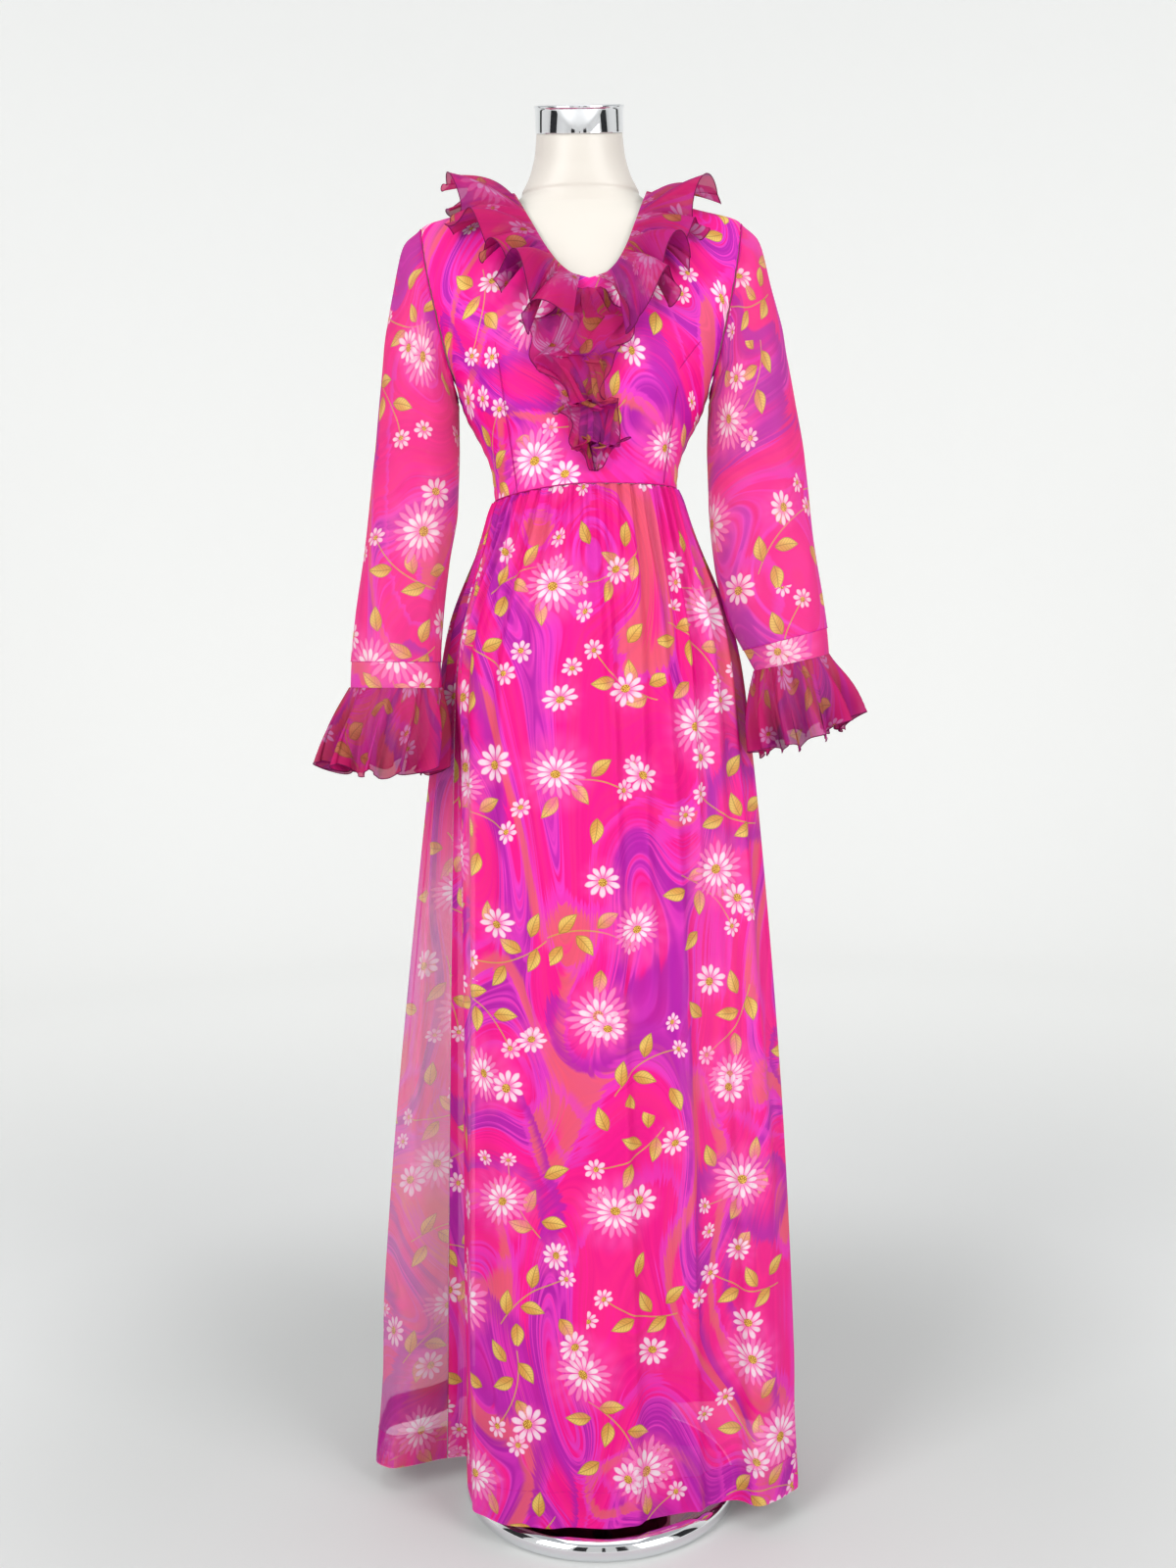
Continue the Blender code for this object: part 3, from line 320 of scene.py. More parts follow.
def paint(colour):
    return colour if isinstance(colour, Ink) else (*colour, 1.0)


def dye(code):
    """A colour as the eye reads it, such as #E5058A, as the light that a shader needs."""
    shades = [int(code[i:i + 2], 16) / 255 for i in (1, 3, 5)]
    return tuple(s / 12.92 if s <= 0.04045 else ((s + 0.055) / 1.055) ** 2.4 for s in shades)


def new_finish(name):
    """A material, its Principled node, and an Ink that adds nodes to its tree."""
    finish = bpy.data.materials.new(name)
    finish.use_nodes = True
    shader = finish.node_tree.nodes["Principled BSDF"]
    start = Ink(finish.node_tree, shader.outputs[0])
    return finish, shader, start


# %% [markdown]
# ## The printed chiffon
#
# The print has three layers. The ground is brushed in sweeping bands of magenta, orchid, violet and
# coral. On it lie sprigs with golden leaves, and on top the daisies and the big double asters. The
# real repeat would be screen printed. Here a Voronoi texture scatters the motifs over the cloth's
# own map, which is in metres, and each motif is drawn by a formula round the nearest point. So the
# flowers keep their real size on every piece, and stay sharp however near the camera comes.

# %% The ground
MAGENTA = dye("#F5008C")
HOT_PINK = dye("#FF0C96")
ORCHID = dye("#EE38C4")
VIOLET = dye("#B414A8")
CORAL = dye("#EC5C6E")
ROSE = dye("#FC1C88")


def noise(place, size, detail=1.0, out="Fac"):
    """Soft blotches about size metres across."""
    sockets = {"Vector": place, "Scale": 1 / size, "Detail": detail}
    return place.node("TexNoise", {"noise_dimensions": "2D"}, sockets, out)


def ribbon(value, low, high, edge):
    """A band between two levels, crisp on its low side and brushed out on the other."""
    return rise(value, low, low + edge) * (1.0 - rise(value, high, high + edge * 4))


def marbled_ground(place):
    """Bands that follow the contours of a slow noise, brushed along their length."""
    tall = place * (1.0, 0.55, 1.0)
    drift = (noise(tall, 0.17, 0.0, "Color") - (0.5, 0.5, 0.5)) * 0.24
    swept = tall + drift
    hill = noise(swept, 0.20, 0.0)
    stroke = noise(swept * 14.0 + hill * 70.0, 1.0, 2.0) - 0.5
    band = (hill * 19.0 + stroke * 2.2).math("SINE") * 0.5 + 0.5
    stops = [
        (0.0, MAGENTA), (0.30, ROSE), (0.55, HOT_PINK), (0.78, MAGENTA), (0.93, ORCHID),
        (1.0, VIOLET)
    ]
    ground = band.node("ValToRGB", {"stops": stops}, {0: band})
    fire = noise(swept + (3.1, 1.7, 0.0), 0.135, 0.0) + stroke * 0.08
    ground = over(ribbon(fire, 0.540, 0.575, 0.016) * 0.7, ORCHID, ground)
    ground = over(ribbon(fire, 0.575, 0.640, 0.010) * 0.85, CORAL, ground)
    dusk = noise(swept + (7.3, 4.1, 0.0), 0.125, 0.0) + stroke * 0.12
    ground = over(ribbon(dusk, 0.605, 0.650, 0.030) * 0.85, VIOLET, ground)
    ground = over(ribbon(dusk, 0.400, 0.430, 0.014) * 0.6, ORCHID, ground)
    return ground, stroke


# %% One flower
def motif(place, cell, shift, wander):
    """The offset from the nearest motif's middle, and three chance numbers of that motif."""
    here = place + shift
    spots = here.node(
        "TexVoronoi", {"voronoi_dimensions": "2D"},
        {"Vector": here, "Scale": 1 / cell, "Randomness": wander}, "Color"
    )
    luck = [spots.part(axis) for axis in range(3)]
    return here - spots.also("Position"), luck


def turned_by(local, angle):
    return local.node(
        "VectorRotate", {"rotation_type": "Z_AXIS"}, {"Vector": local, "Angle": angle}
    )


def length_of(local):
    return local.node("VectorMath", {"operation": "LENGTH"}, {0: local}, "Value")


def nearest_of(local, spots):
    """The offset from the nearest of a few spots (x, y and turn), and that spot's turn."""
    x, y, turn = spots[0]
    best = local - (x, y, 0.0)
    reach = length_of(best)
    for x, y, angle in spots[1:]:
        rival = local - (x, y, 0.0)
        far = length_of(rival)
        nearer = far.math("LESS_THAN", reach)
        best = best + (rival - best) * nearer
        turn = turn + (angle - turn) * nearer
        reach = far.math("MINIMUM", reach)
    return best, turn


def petals_of(radius, turn, petals, seed):
    """A ring of petals: how far inside a petal this point is, and its radius, 1 at the tips."""
    turn = turn * petals
    number = turn.math("FLOOR")
    chance = number.node(
        "TexWhiteNoise", {"noise_dimensions": "1D"}, {"W": number + seed * 7.0}, "Value"
    )
    along = radius * (1.0 + chance * 0.20)
    across = (turn - number - 0.5).math("ABSOLUTE")
    inside = (1.0 - along.math("POWER", 7.0)) * 0.48 - across
    return rise(inside, 0.0, 0.08), along, inside


def flower(ground, local, luck, rings):
    """Rings of tilted petals, pink at their edges, round a golden eye. Each ring is its reach in
    metres, its number of petals, the tint at the petals' feet and edges, and their pale middle."""
    tilt = 1.0 / (0.70 + luck[1] * 0.30)
    seen = turned_by(local, luck[0] * 6.283)
    grown = (
        seen * seen.node("CombineXYZ", None, {0: 1.0, 1: tilt, 2: 1.0}) / (luck[2] * 0.25 + 0.85)
    )
    away = length_of(grown)
    turn = grown.part(1).math("ARCTAN2", grown.part(0)) / (2 * math.pi)
    drawn = ground
    for reach, petals, tint, pale in rings:
        mask, along, inside = petals_of(away / reach, turn, petals, luck[2])
        blush = over(rise(along, 0.22, 0.60), pale, tint)
        blush = over(rise(along, 0.80, 1.05) * 0.45, tint, blush)
        blush = over(rise(inside, 0.03, 0.20), blush, tint)
        drawn = over(mask * rise(along, 0.12, 0.2) * 0.92, blush, drawn)
    eye = length_of(grown + (0.0, 0.10 * reach, 0.0)) / reach
    grain = noise(grown, 0.0016, 0.0)
    gold = over(rise(grain, 0.42, 0.58), dye("#F2C453"), dye("#A8741F"))
    return over(1.0 - rise(eye, 0.205, 0.255), gold, drawn)


def haze(ground, local, reach, strength):
    """The brushed glow of hot pink that the painter left round a flower."""
    radius = length_of(local) / reach
    turn = local.part(1).math("ARCTAN2", local.part(0)) * 14.0
    ray = turn.math("SINE") * 0.5 + 0.5
    glow = (1.0 - rise(radius, 0.75, 1.30)) * (0.55 + ray * 0.45) * strength
    return over(glow, dye("#FF4CB0"), ground)


# %% Leaves and sprigs
LEAF_LENGTH = 0.030
GOLD_LEAF = dye("#DDA04C")
PALE_LEAF = dye("#F0C868")
LEAF_LINE = dye("#7A6420")


def leaf(ground, local, turn):
    """A pointed leaf with its veins and a dark outline."""
    at = turned_by(local, turn) * (2.0 / LEAF_LENGTH)
    along, side = at.part(0), at.part(1)
    curve = 1.0 - along * along
    bend = (side - curve * 0.10).math("ABSOLUTE")
    inside = curve * (0.52 - along * 0.16) - bend
    rib = ((along * 4.0 - bend * 3.2).math("FRACT") - 0.5).math("ABSOLUTE")
    cloth = over(rise(along * 0.5 + side, -0.3, 0.4), PALE_LEAF, GOLD_LEAF)
    line = (1.0 - rise(rib, 0.03, 0.12)) * 0.45
    line = line.math("MAXIMUM", (1.0 - rise(bend, 0.015, 0.05)) * 0.6)
    line = line.math("MAXIMUM", (1.0 - rise(inside, 0.03, 0.10)) * 0.75)
    cloth = over(line, LEAF_LINE, cloth)
    near = 1.0 - rise(along.math("ABSOLUTE"), 0.98, 1.0)
    return over(rise(inside, 0.0, 0.03) * near, cloth, ground)


def stem(ground, local, start, end, bow):
    """A thin golden line from start to end along x, bowed by bow in y."""
    x, y = local.part(0), local.part(1)
    share = (x - start) / (end - start)
    line = share * (1.0 - share) * (4.0 * bow)
    near = (y - line).math("ABSOLUTE")
    within = rise(share, 0.0, 0.02) * (1.0 - rise(share, 0.98, 1.0))
    ink = (1.0 - rise(near, 0.0005, 0.0010)) * within
    return over(ink * 0.9, dye("#CFA04A"), ground)


SPRIG_LEAVES = (
    (-0.032, 0.017, -0.9), (-0.012, -0.006, 0.8), (0.012, 0.024, -0.7), (-0.046, -0.020, 2.2),
    (0.006, -0.046, 1.7)
)
SPRIG_DAISIES = ((0.041, 0.000, 0.3), (0.051, 0.029, 4.4))
SMALL_DAISY = [(0.0138, 8, dye("#FF80C0"), dye("#FFDCEE"))]
DAISY = [(0.0225, 10, dye("#FF84C2"), dye("#FFE2F1"))]
ASTER = [(0.0400, 21, dye("#FF4CA8"), dye("#FF86C6")), (0.0250, 12, dye("#FF92CC"), dye("#FFEAF5"))]


def sprig(ground, place, shift):
    """A bowed stem with leaves along it, two small daisies at its end and two loose leaves."""
    local, luck = motif(place, 0.138, shift, 0.50)
    local = turned_by(local, luck[0] * 6.283)
    drawn = stem(ground, local, -0.055, 0.040, 0.011)
    drawn = leaf(drawn, *nearest_of(local, SPRIG_LEAVES))
    near, turn = nearest_of(local, SPRIG_DAISIES)
    return flower(drawn, near, [turn, luck[1], luck[2]], SMALL_DAISY)


def floral_print(place):
    """The whole print at a place on the cloth."""
    ground, stroke = marbled_ground(place)
    drawn = sprig(ground, place, (0.031, 0.047, 0.0))
    local, luck = motif(place, 0.165, (0.071, 0.003, 0.0), 0.6)
    drawn = haze(drawn, local, 0.041, 0.6)
    drawn = flower(drawn, local, luck, ASTER)
    local, luck = motif(place, 0.125, (0.021, 0.083, 0.0), 0.7)
    drawn = haze(drawn, local, 0.024, 0.35)
    return flower(drawn, local, luck, DAISY), stroke


# %% [markdown]
# Chiffon is sheer, so each finish states how much of it the light passes, and it glows where light
# comes through from behind, which a share of Translucent shader gives. The bodice is backed and
# looks full and deep. The sleeves are one layer and look paler against the wall. The frills are
# one layer too but lie in many folds, and their print is dimmed to plum as painted shade of those
# folds. The turned-up hem and the seam allowances are dimmed with painted shade as well.

# %% Printed finishes
CLOTH_MAP = "cloth"


CLOSE_WEAVE = 0.80


def printed_chiffon(name, cover, shade, glow, glow_colour, thick=None):
    """A print with cover as its opacity, dimmed by shade, of which a share glows through. Where
    gathers lie close, above the heights thick on the cloth's map, the cover rises to full."""
    finish, shader, start = new_finish(name)
    # Where the weave is close, its shadow may be plain: only the sheer cloth lets light on through.
    finish.use_transparent_shadow = cover < CLOSE_WEAVE
    place = start.node("UVMap", {"uv_map": CLOTH_MAP}, None, "UV")
    drawn, stroke = floral_print(place)
    tone = 1.0 + stroke * 0.22
    drawn = drawn * tone * shade
    tree = finish.node_tree
    tree.links.new(drawn.socket, shader.inputs["Base Color"])
    thread = noise(place, 0.0009, 1.0)
    bump = start.node(
        "Bump", None, {"Strength": 0.12, "Distance": 0.0002, "Height": thread}, "Normal"
    )
    tree.links.new(bump.socket, shader.inputs["Normal"])
    shader.inputs["Roughness"].default_value = 0.62
    shader.inputs["Specular IOR Level"].default_value = 0.25
    if thick:
        cover = cover + rise(place.part(1), *thick) * (0.95 - cover)
        tree.links.new(cover.socket, shader.inputs["Alpha"])
    else:
        shader.inputs["Alpha"].default_value = cover
    lit = start.node("BsdfTranslucent", None, {"Color": (*glow_colour, 1.0)})
    clear = start.node("BsdfTransparent", None, {"Color": (1.0, 1.0, 1.0, 1.0)})
    through = start.node("MixShader", None, {0: cover, 1: clear, 2: lit})
    mixed = start.node("MixShader", None, {0: glow, 1: start, 2: through})
    output = tree.nodes["Material Output"]
    tree.links.new(mixed.socket, output.inputs["Surface"])
    return finish


bodice_chiffon = printed_chiffon("bodice_chiffon", 0.99, (1.0, 1.0, 1.0), 0.06, dye("#FF208C"))
sleeve_chiffon = printed_chiffon("sleeve_chiffon", 0.82, (1.0, 1.0, 0.96), 0.20, dye("#FF4090"))
skirt_chiffon = printed_chiffon("skirt_chiffon", 0.86, (1.0, 1.0, 1.0), 0.10, dye("#FF309C"))
sheer_chiffon = printed_chiffon(
    "sheer_chiffon", 0.52, (1.0, 0.94, 1.0), 0.12, dye("#FF409C"), (1.12, 1.45)
)
# Painted shade: the frills' print is dimmed to plum for their many folds.
frill_chiffon = printed_chiffon("frill_chiffon", 0.88, (0.52, 0.23, 0.43), 0.12, dye("#B01878"))
# Painted shade: the turned-up hem is dimmed as double cloth in shade.
hem_chiffon = printed_chiffon("hem_chiffon", 0.86, (0.68, 0.32, 0.52), 0.10, dye("#C02090"))
# Painted shade: the allowances inside the skirt are dimmed.
shaded_allowance_chiffon = printed_chiffon(
    "shaded_allowance_chiffon", 0.92, (0.55, 0.40, 0.50), 0.08, dye("#A01878")
)
print("print nodes in one finish:", len(skirt_chiffon.node_tree.nodes))

# %% Plain finishes
def plain_finish(name, colour, roughness, metallic=0.0):
    finish, shader, start = new_finish(name)
    shader.inputs["Base Color"].default_value = (*colour, 1.0)
    shader.inputs["Roughness"].default_value = roughness
    shader.inputs["Metallic"].default_value = metallic
    return finish, shader, start


def object_place(start):
    return start.node("TexCoord", None, None, "Object")


def solid_noise(place, size, detail=2.0):
    return place.node(
        "TexNoise", {"noise_dimensions": "3D"},
        {"Vector": place, "Scale": 1 / size, "Detail": detail}
    )


def bump_into(shader, start, height, strength, distance):
    sockets = {"Strength": strength, "Distance": distance, "Height": height}
    bump = start.node("Bump", None, sockets, "Normal")
    start.tree.links.new(bump.socket, shader.inputs["Normal"])


def form_finish():
    """Matte warm white shell: sprayed plastic with a faint orange peel and a few rubbed places."""
    finish, shader, start = plain_finish("form_shell", dye("#E2DDD4"), 0.42)
    place = object_place(start)
    rub = rise(solid_noise(place, 0.09, 3.0), 0.55, 0.75)
    start.tree.links.new(
        over(rub * 0.35, dye("#CAC4BA"), dye("#D6D1C8")).socket, shader.inputs["Base Color"]
    )
    start.tree.links.new((0.40 + rub * 0.12).socket, shader.inputs["Roughness"])
    bump_into(shader, start, solid_noise(place, 0.0016, 1.0), 0.08, 0.0002)
    return finish


def chrome_finish():
    """Polished chrome with hair-fine wipe marks."""
    finish, shader, start = plain_finish("chrome", dye("#E6E7EA"), 0.06, 1.0)
    place = object_place(start)
    haze_mark = rise(solid_noise(place, 0.03, 4.0), 0.52, 0.70)
    start.tree.links.new((0.045 + haze_mark * 0.05).socket, shader.inputs["Roughness"])
    return finish


def satin_lining_finish():
    """Plain hot pink lining with a slight satin sheen."""
    finish, shader, start = plain_finish("lining_satin", dye("#E8127C"), 0.46)
    place = start.node("UVMap", {"uv_map": CLOTH_MAP}, None, "UV")
    tone = noise(place, 0.05, 2.0)
    colour = over(rise(tone, 0.35, 0.65), dye("#EC1484"), dye("#DE0E72"))
    start.tree.links.new(colour.socket, shader.inputs["Base Color"])
    bump_into(shader, start, noise(place, 0.0011, 1.0), 0.10, 0.0002)
    shader.inputs["Sheen Weight"].default_value = 0.2
    return finish


def woven_finish(name, colour, dark, thread, roughness):
    """Narrow woven goods, such as the zip tape, with ribs that lie thread metres apart."""
    finish, shader, start = plain_finish(name, dye(colour), roughness)
    place = object_place(start)
    rib = (place.part(2) * (2 * math.pi / thread)).math("SINE") * 0.5 + 0.5
    tone = over(rib * 0.5, dye(dark), dye(colour))
    start.tree.links.new(tone.socket, shader.inputs["Base Color"])
    bump_into(shader, start, rib, 0.25, 0.0002)
    shader.inputs["Specular IOR Level"].default_value = 0.2
    return finish


def metal_finish():
    finish, shader, start = plain_finish("zip_nickel", dye("#C9C4BC"), 0.26, 1.0)
    place = object_place(start)
    worn = rise(solid_noise(place, 0.002, 2.0), 0.45, 0.7)
    start.tree.links.new((0.20 + worn * 0.20).socket, shader.inputs["Roughness"])
    return finish


# The photo's floor is greyer round the base than its wall, which glows as in a room of many lamps.
# The grey round the base is painted shade, and the wall's glow is painted light.
NEAR_SHADED_PAINT, SHADE_FADE, FAR_GLOW = (0.70, 0.71, 0.70), (0.17, 0.165, 0.17), (0.232, 0.230, 0.222)


def sweep_finish():
    """Matt paint with painted shade round the base: it whitens, and glows a little more as painted
    light, with the distance from the middle.
    """
    finish, shader, start = plain_finish("sweep_white", (0.87, 0.885, 0.88), 0.85)
    away = length_of(object_place(start) * (1.0, 1.0, 0.6))
    # Painted shade: the paint is greyer near the middle, round the base, and whitens further out.
    paint = rise(away, 0.5, 1.2) * SHADE_FADE + NEAR_SHADED_PAINT
    start.tree.links.new(paint.socket, shader.inputs["Base Color"])
    # Painted light: the glow grows further out, as in a room of many lamps.
    far = rise(away, 0.5, 3.0)
    start.tree.links.new((far * FAR_GLOW).socket, shader.inputs["Emission Color"])
    shader.inputs["Emission Strength"].default_value = 1.0
    finish.cycles.emission_sampling = "NONE"
    return finish


sweep_mesh.materials.append(sweep_finish())
shell_white = form_finish()
chrome = chrome_finish()
lining_satin = satin_lining_finish()
rolled_thread = woven_finish("rolled_thread", "#7A0C50", "#4A0630", 0.0012, 0.8)
seam_thread = woven_finish("seam_thread", "#CE1688", "#A41070", 0.0020, 0.8)
tape_weave = woven_finish("tape_weave", "#B80E60", "#8C0A48", 0.0016, 0.65)
nickel = metal_finish()

# %% [markdown]
# ## Curves through tables
#
# A dressmaker grades a pattern through a few measured lines, and this does the same. Each table
# below has a row for each section, and a smooth curve through a column gives every height between.
# The level curve never swings past its rows; the round one does, as a soft fold should.


# %% Curves
def curve_through(xs, ys, rounded=False):
    xs, ys = np.array(xs, float), np.array(ys, float)
    slopes = np.diff(ys) / np.diff(xs)
    if rounded:
        tangents = np.gradient(ys, xs)
    else:
        tangents = np.concatenate([slopes[:1], np.zeros(len(xs) - 2), slopes[-1:]])
        before, after = slopes[:-1], slopes[1:]
        same = before * after > 0
        tangents[1:-1][same] = 2 * (before * after)[same] / (before + after)[same]

    def curve(x):
        x = np.clip(x, xs[0], xs[-1])
        i = np.clip(np.searchsorted(xs, x, side="right") - 1, 0, len(xs) - 2)
        step = xs[i + 1] - xs[i]
        t = (x - xs[i]) / step
        ends = (2 * t**3 - 3 * t**2 + 1) * ys[i] + (3 * t**2 - 2 * t**3) * ys[i + 1]
        return ends + ((t**3 - 2 * t**2 + t) * tangents[i] + (t**3 - t**2) * tangents[i + 1]) * step

    return curve


def curves_of(rows, key, rounded=False):
    """Each other column of a table as a curve of the key column."""
    at = [getattr(row, key) for row in rows]
    names = [name for name in rows[0]._fields if name != key]
    return {
        name: curve_through(at, [getattr(row, name) for row in rows], rounded) for name in names
    }


# %% [markdown]
# ## Sheets from grids
#
# Every cloth piece is one open grid of points, so the cloth is a real thin sheet. Its map is the
# distance walked along the cloth, in metres, from the middle column and the bottom row, which is
# how the piece would lie on the cutting table. The print follows that map.


# %% The sheet maker
def steps_along(points, axis):
    lengths = np.linalg.norm(np.diff(points, axis=axis), axis=2)
    walked = np.cumsum(lengths, axis=axis)
    lead = [(0, 0), (0, 0)]
    lead[axis] = (1, 0)
    return np.pad(walked, lead)


def sheet_map(points, shift, ruler=None):
    """The cloth's own map: metres across and up, with the middle column straight. On a frill every
    row has the across of the row ruler, because its seam is drawn up and its free edge is not."""
    across, up = steps_along(points, 1), steps_along(points, 0)
    if ruler is not None:
        across = across * 0.0 + across[ruler]
    middle = points.shape[1] // 2
    across = across - across[:, middle:middle + 1]
    return np.stack([across + shift[0], up + shift[1]], axis=2)


def grid_faces(rows, columns, closed):
    span = columns if closed else columns - 1
    r, c = np.meshgrid(np.arange(rows - 1), np.arange(span), indexing="ij")
    a = r * columns + c
    b = r * columns + (c + 1) % columns
    return np.stack([a, b, b + columns, a + columns], axis=2).reshape(-1, 4)


def mesh_object(name, corners, faces, finish):
    mesh = bpy.data.meshes.new(name)
    mesh.from_pydata(corners.reshape(-1, 3), [], faces.tolist())
    mesh.shade_smooth()
    mesh.materials.append(finish)
    return link(bpy.data.objects.new(name, mesh))


def cloth_sheet(name, points, finish, shift=(0.0, 0.0), closed=False, ruler=None):
    """points are rows by columns by 3; a closed sheet has its last column on its first."""
    rows, columns = points.shape[:2]
    cloth_map = sheet_map(points, shift, ruler)
    faces = grid_faces(rows, columns, False)
    if closed:
        kept = columns - 1
        ring = grid_faces(rows, kept, True)
        obj = mesh_object(name, points[:, :kept], ring, finish)
    else:
        obj = mesh_object(name, points, faces, finish)
    corner_map = cloth_map.reshape(-1, 2)[faces.reshape(-1)]
    layer = obj.data.uv_layers.new(name=CLOTH_MAP)
    layer.uv.foreach_set("vector", corner_map.astype(np.float32).ravel())
    return obj


def normals_of(points):
    """The outward direction at each point of a grid whose columns run left to right."""
    across = np.gradient(points, axis=1)
    up = np.gradient(points, axis=0)
    out = np.cross(across, up)
    return out / np.maximum(np.linalg.norm(out, axis=2, keepdims=True), 1e-12)


def area_of(obj):
    return sum(face.area for face in obj.data.polygons)


def bumpy(x, y, seed):
    """A slow, even-handed unevenness between -1 and 1 that is the same on each run."""
    turns = [(1.0, 0.7, 0.0), (0.6, -1.1, 1.9), (-1.7, 0.5, 4.2), (2.3, 1.6, 2.6)]
    total = sum(np.sin(a * x + b * y + phase + seed * 1.37) for a, b, phase in turns)
    return total / len(turns)


# %% [markdown]
# ## Threads, seams and rolled edges
#
# A seam shows on chiffon as a thin darker line, because its allowance lies double behind it. A
# frill ends in a rolled edge, whipped round with thread. Both are thin round cords here, swept
# along a line of points with a small ring that turns as little as it can from point to point.


# %% Cords along a line
def cord_points(path, radius, sides):
    path = np.asarray(path, float)
    run = np.gradient(path, axis=0)
    run /= np.maximum(np.linalg.norm(run, axis=1, keepdims=True), 1e-12)
    side = np.cross(run[0], (0.0, 0.0, 1.0))
    if np.linalg.norm(side) < 0.1:
        side = np.cross(run[0], (0.0, 1.0, 0.0))
    rings = []
    angles = np.arange(sides) * 2 * math.pi / sides
    for place, direction in zip(path, run):
        side = side - direction * np.dot(side, direction)
        side /= np.linalg.norm(side)
        lift = np.cross(direction, side)
        rings.append(
            place + radius * (np.outer(np.cos(angles), side) + np.outer(np.sin(angles), lift))
        )
    return np.array(rings)


def cord_along(name, path, radius, finish, sides=6):
    rings = cord_points(path, radius, sides)
    faces = grid_faces(len(rings), sides, True)
    obj = mesh_object(name, rings, faces[:, ::-1], finish)
    return obj


def joined(name, pieces, finish):
    """Many small closed shapes, each a pair of corners and faces, as one mesh."""
    corners, faces, start = [], [], 0
    for shape, shape_faces in pieces:
        corners.append(shape.reshape(-1, 3))
        faces.append(np.asarray(shape_faces) + start)
        start += len(corners[-1])
    return mesh_object(name, np.concatenate(corners), np.concatenate(faces), finish)


def stitch_row(path, pitch, radius, lift):
    """Short thread stitches along a path of points, each sunk at both ends."""
    path = np.asarray(path, float)
    walked = np.concatenate([[0.0], np.cumsum(np.linalg.norm(np.diff(path, axis=0), axis=1))])
    shapes = []
    for begin in np.arange(pitch * 0.25, walked[-1] - pitch * 0.8, pitch):
        marks = begin + np.array([0.0, 0.16, 0.5, 0.84, 1.0]) * pitch * 0.72
        line = np.stack([np.interp(marks, walked, path[:, axis]) for axis in range(3)], axis=1)
        line += np.outer([-0.6, 0.5, 1.0, 0.5, -0.6], lift)
        rings = cord_points(line, radius, 4)
        shapes.append((rings, grid_faces(5, 4, True)[:, ::-1]))
    return shapes

# %% [markdown]
# ## The sizes of the dress and the form
#
# These are the same sizes that the solids were made from, so each sheet lies on its own solid. A
# girth angle is 0 at centre front and grows towards +X, round the back; a share is that angle as a
# part of the whole turn. The origin is the middle of the base's underside and the front faces -Y.

# %% Bodice sizes
WAIST_Z, WAIST_HALF, WAIST_DROP_LEFT = 1.200, 0.1045, 0.012
SHOULDER_X, SHOULDER_Z = 0.181, 1.497
NECK_X, NECK_Z = 0.0748, 1.528
NECK_V_X, NECK_V_Z = 0.008, 1.418
BACK_NECK_Z, UNDERARM_Z, SETTLE_Z = 1.511, 1.304, 1.40
CLOTH_LIFT = 0.0008  # the sheet lies in the middle of its solid's wall

Ring = namedtuple("Ring", "z half_width front back power")
BODICE = [
    Ring(1.186, 0.1040, 0.0870, 0.0820, 2.10),
    Ring(1.200, 0.1045, 0.0880, 0.0825, 2.10),
    Ring(1.225, 0.1075, 0.0925, 0.0835, 2.12),
    Ring(1.250, 0.1170, 0.1000, 0.0855, 2.15),
    Ring(1.285, 0.1350, 0.1110, 0.0890, 2.20),
    Ring(1.304, 0.1415, 0.1150, 0.0915, 2.25),
    Ring(1.342, 0.1570, 0.1170, 0.0950, 2.30),
    Ring(1.380, 0.1720, 0.1080, 0.0970, 2.30),
    Ring(1.420, 0.1860, 0.0930, 0.0945, 2.30),
    Ring(1.450, 0.1900, 0.0790, 0.0870, 2.30),
    Ring(1.475, 0.1880, 0.0650, 0.0765, 2.20),
    Ring(1.497, 0.1810, 0.0530, 0.0640, 2.05),
    Ring(1.512, 0.1296, 0.0480, 0.0580, 2.00),
    Ring(1.528, 0.0748, 0.0440, 0.0540, 2.00),
]

NeckPoint = namedtuple("NeckPoint", "z half_width")
NECKLINE = [
    NeckPoint(1.418, 0.0000),
    NeckPoint(1.425, 0.0200),
    NeckPoint(1.450, 0.0400),
    NeckPoint(1.490, 0.0580),
    NeckPoint(1.510, 0.0665),
    NeckPoint(1.528, 0.0748),
]

ArmPoint = namedtuple("ArmPoint", "z front_x back_x")
ARMHOLE = [
    ArmPoint(1.304, 0.1415, 0.1415),
    ArmPoint(1.320, 0.1435, 0.1455),
    ArmPoint(1.342, 0.1500, 0.1540),
    ArmPoint(1.403, 0.1640, 0.1690),
    ArmPoint(1.449, 0.1735, 0.1770),
    ArmPoint(1.480, 0.1785, 0.1800),
    ArmPoint(1.497, 0.1810, 0.1810),
]

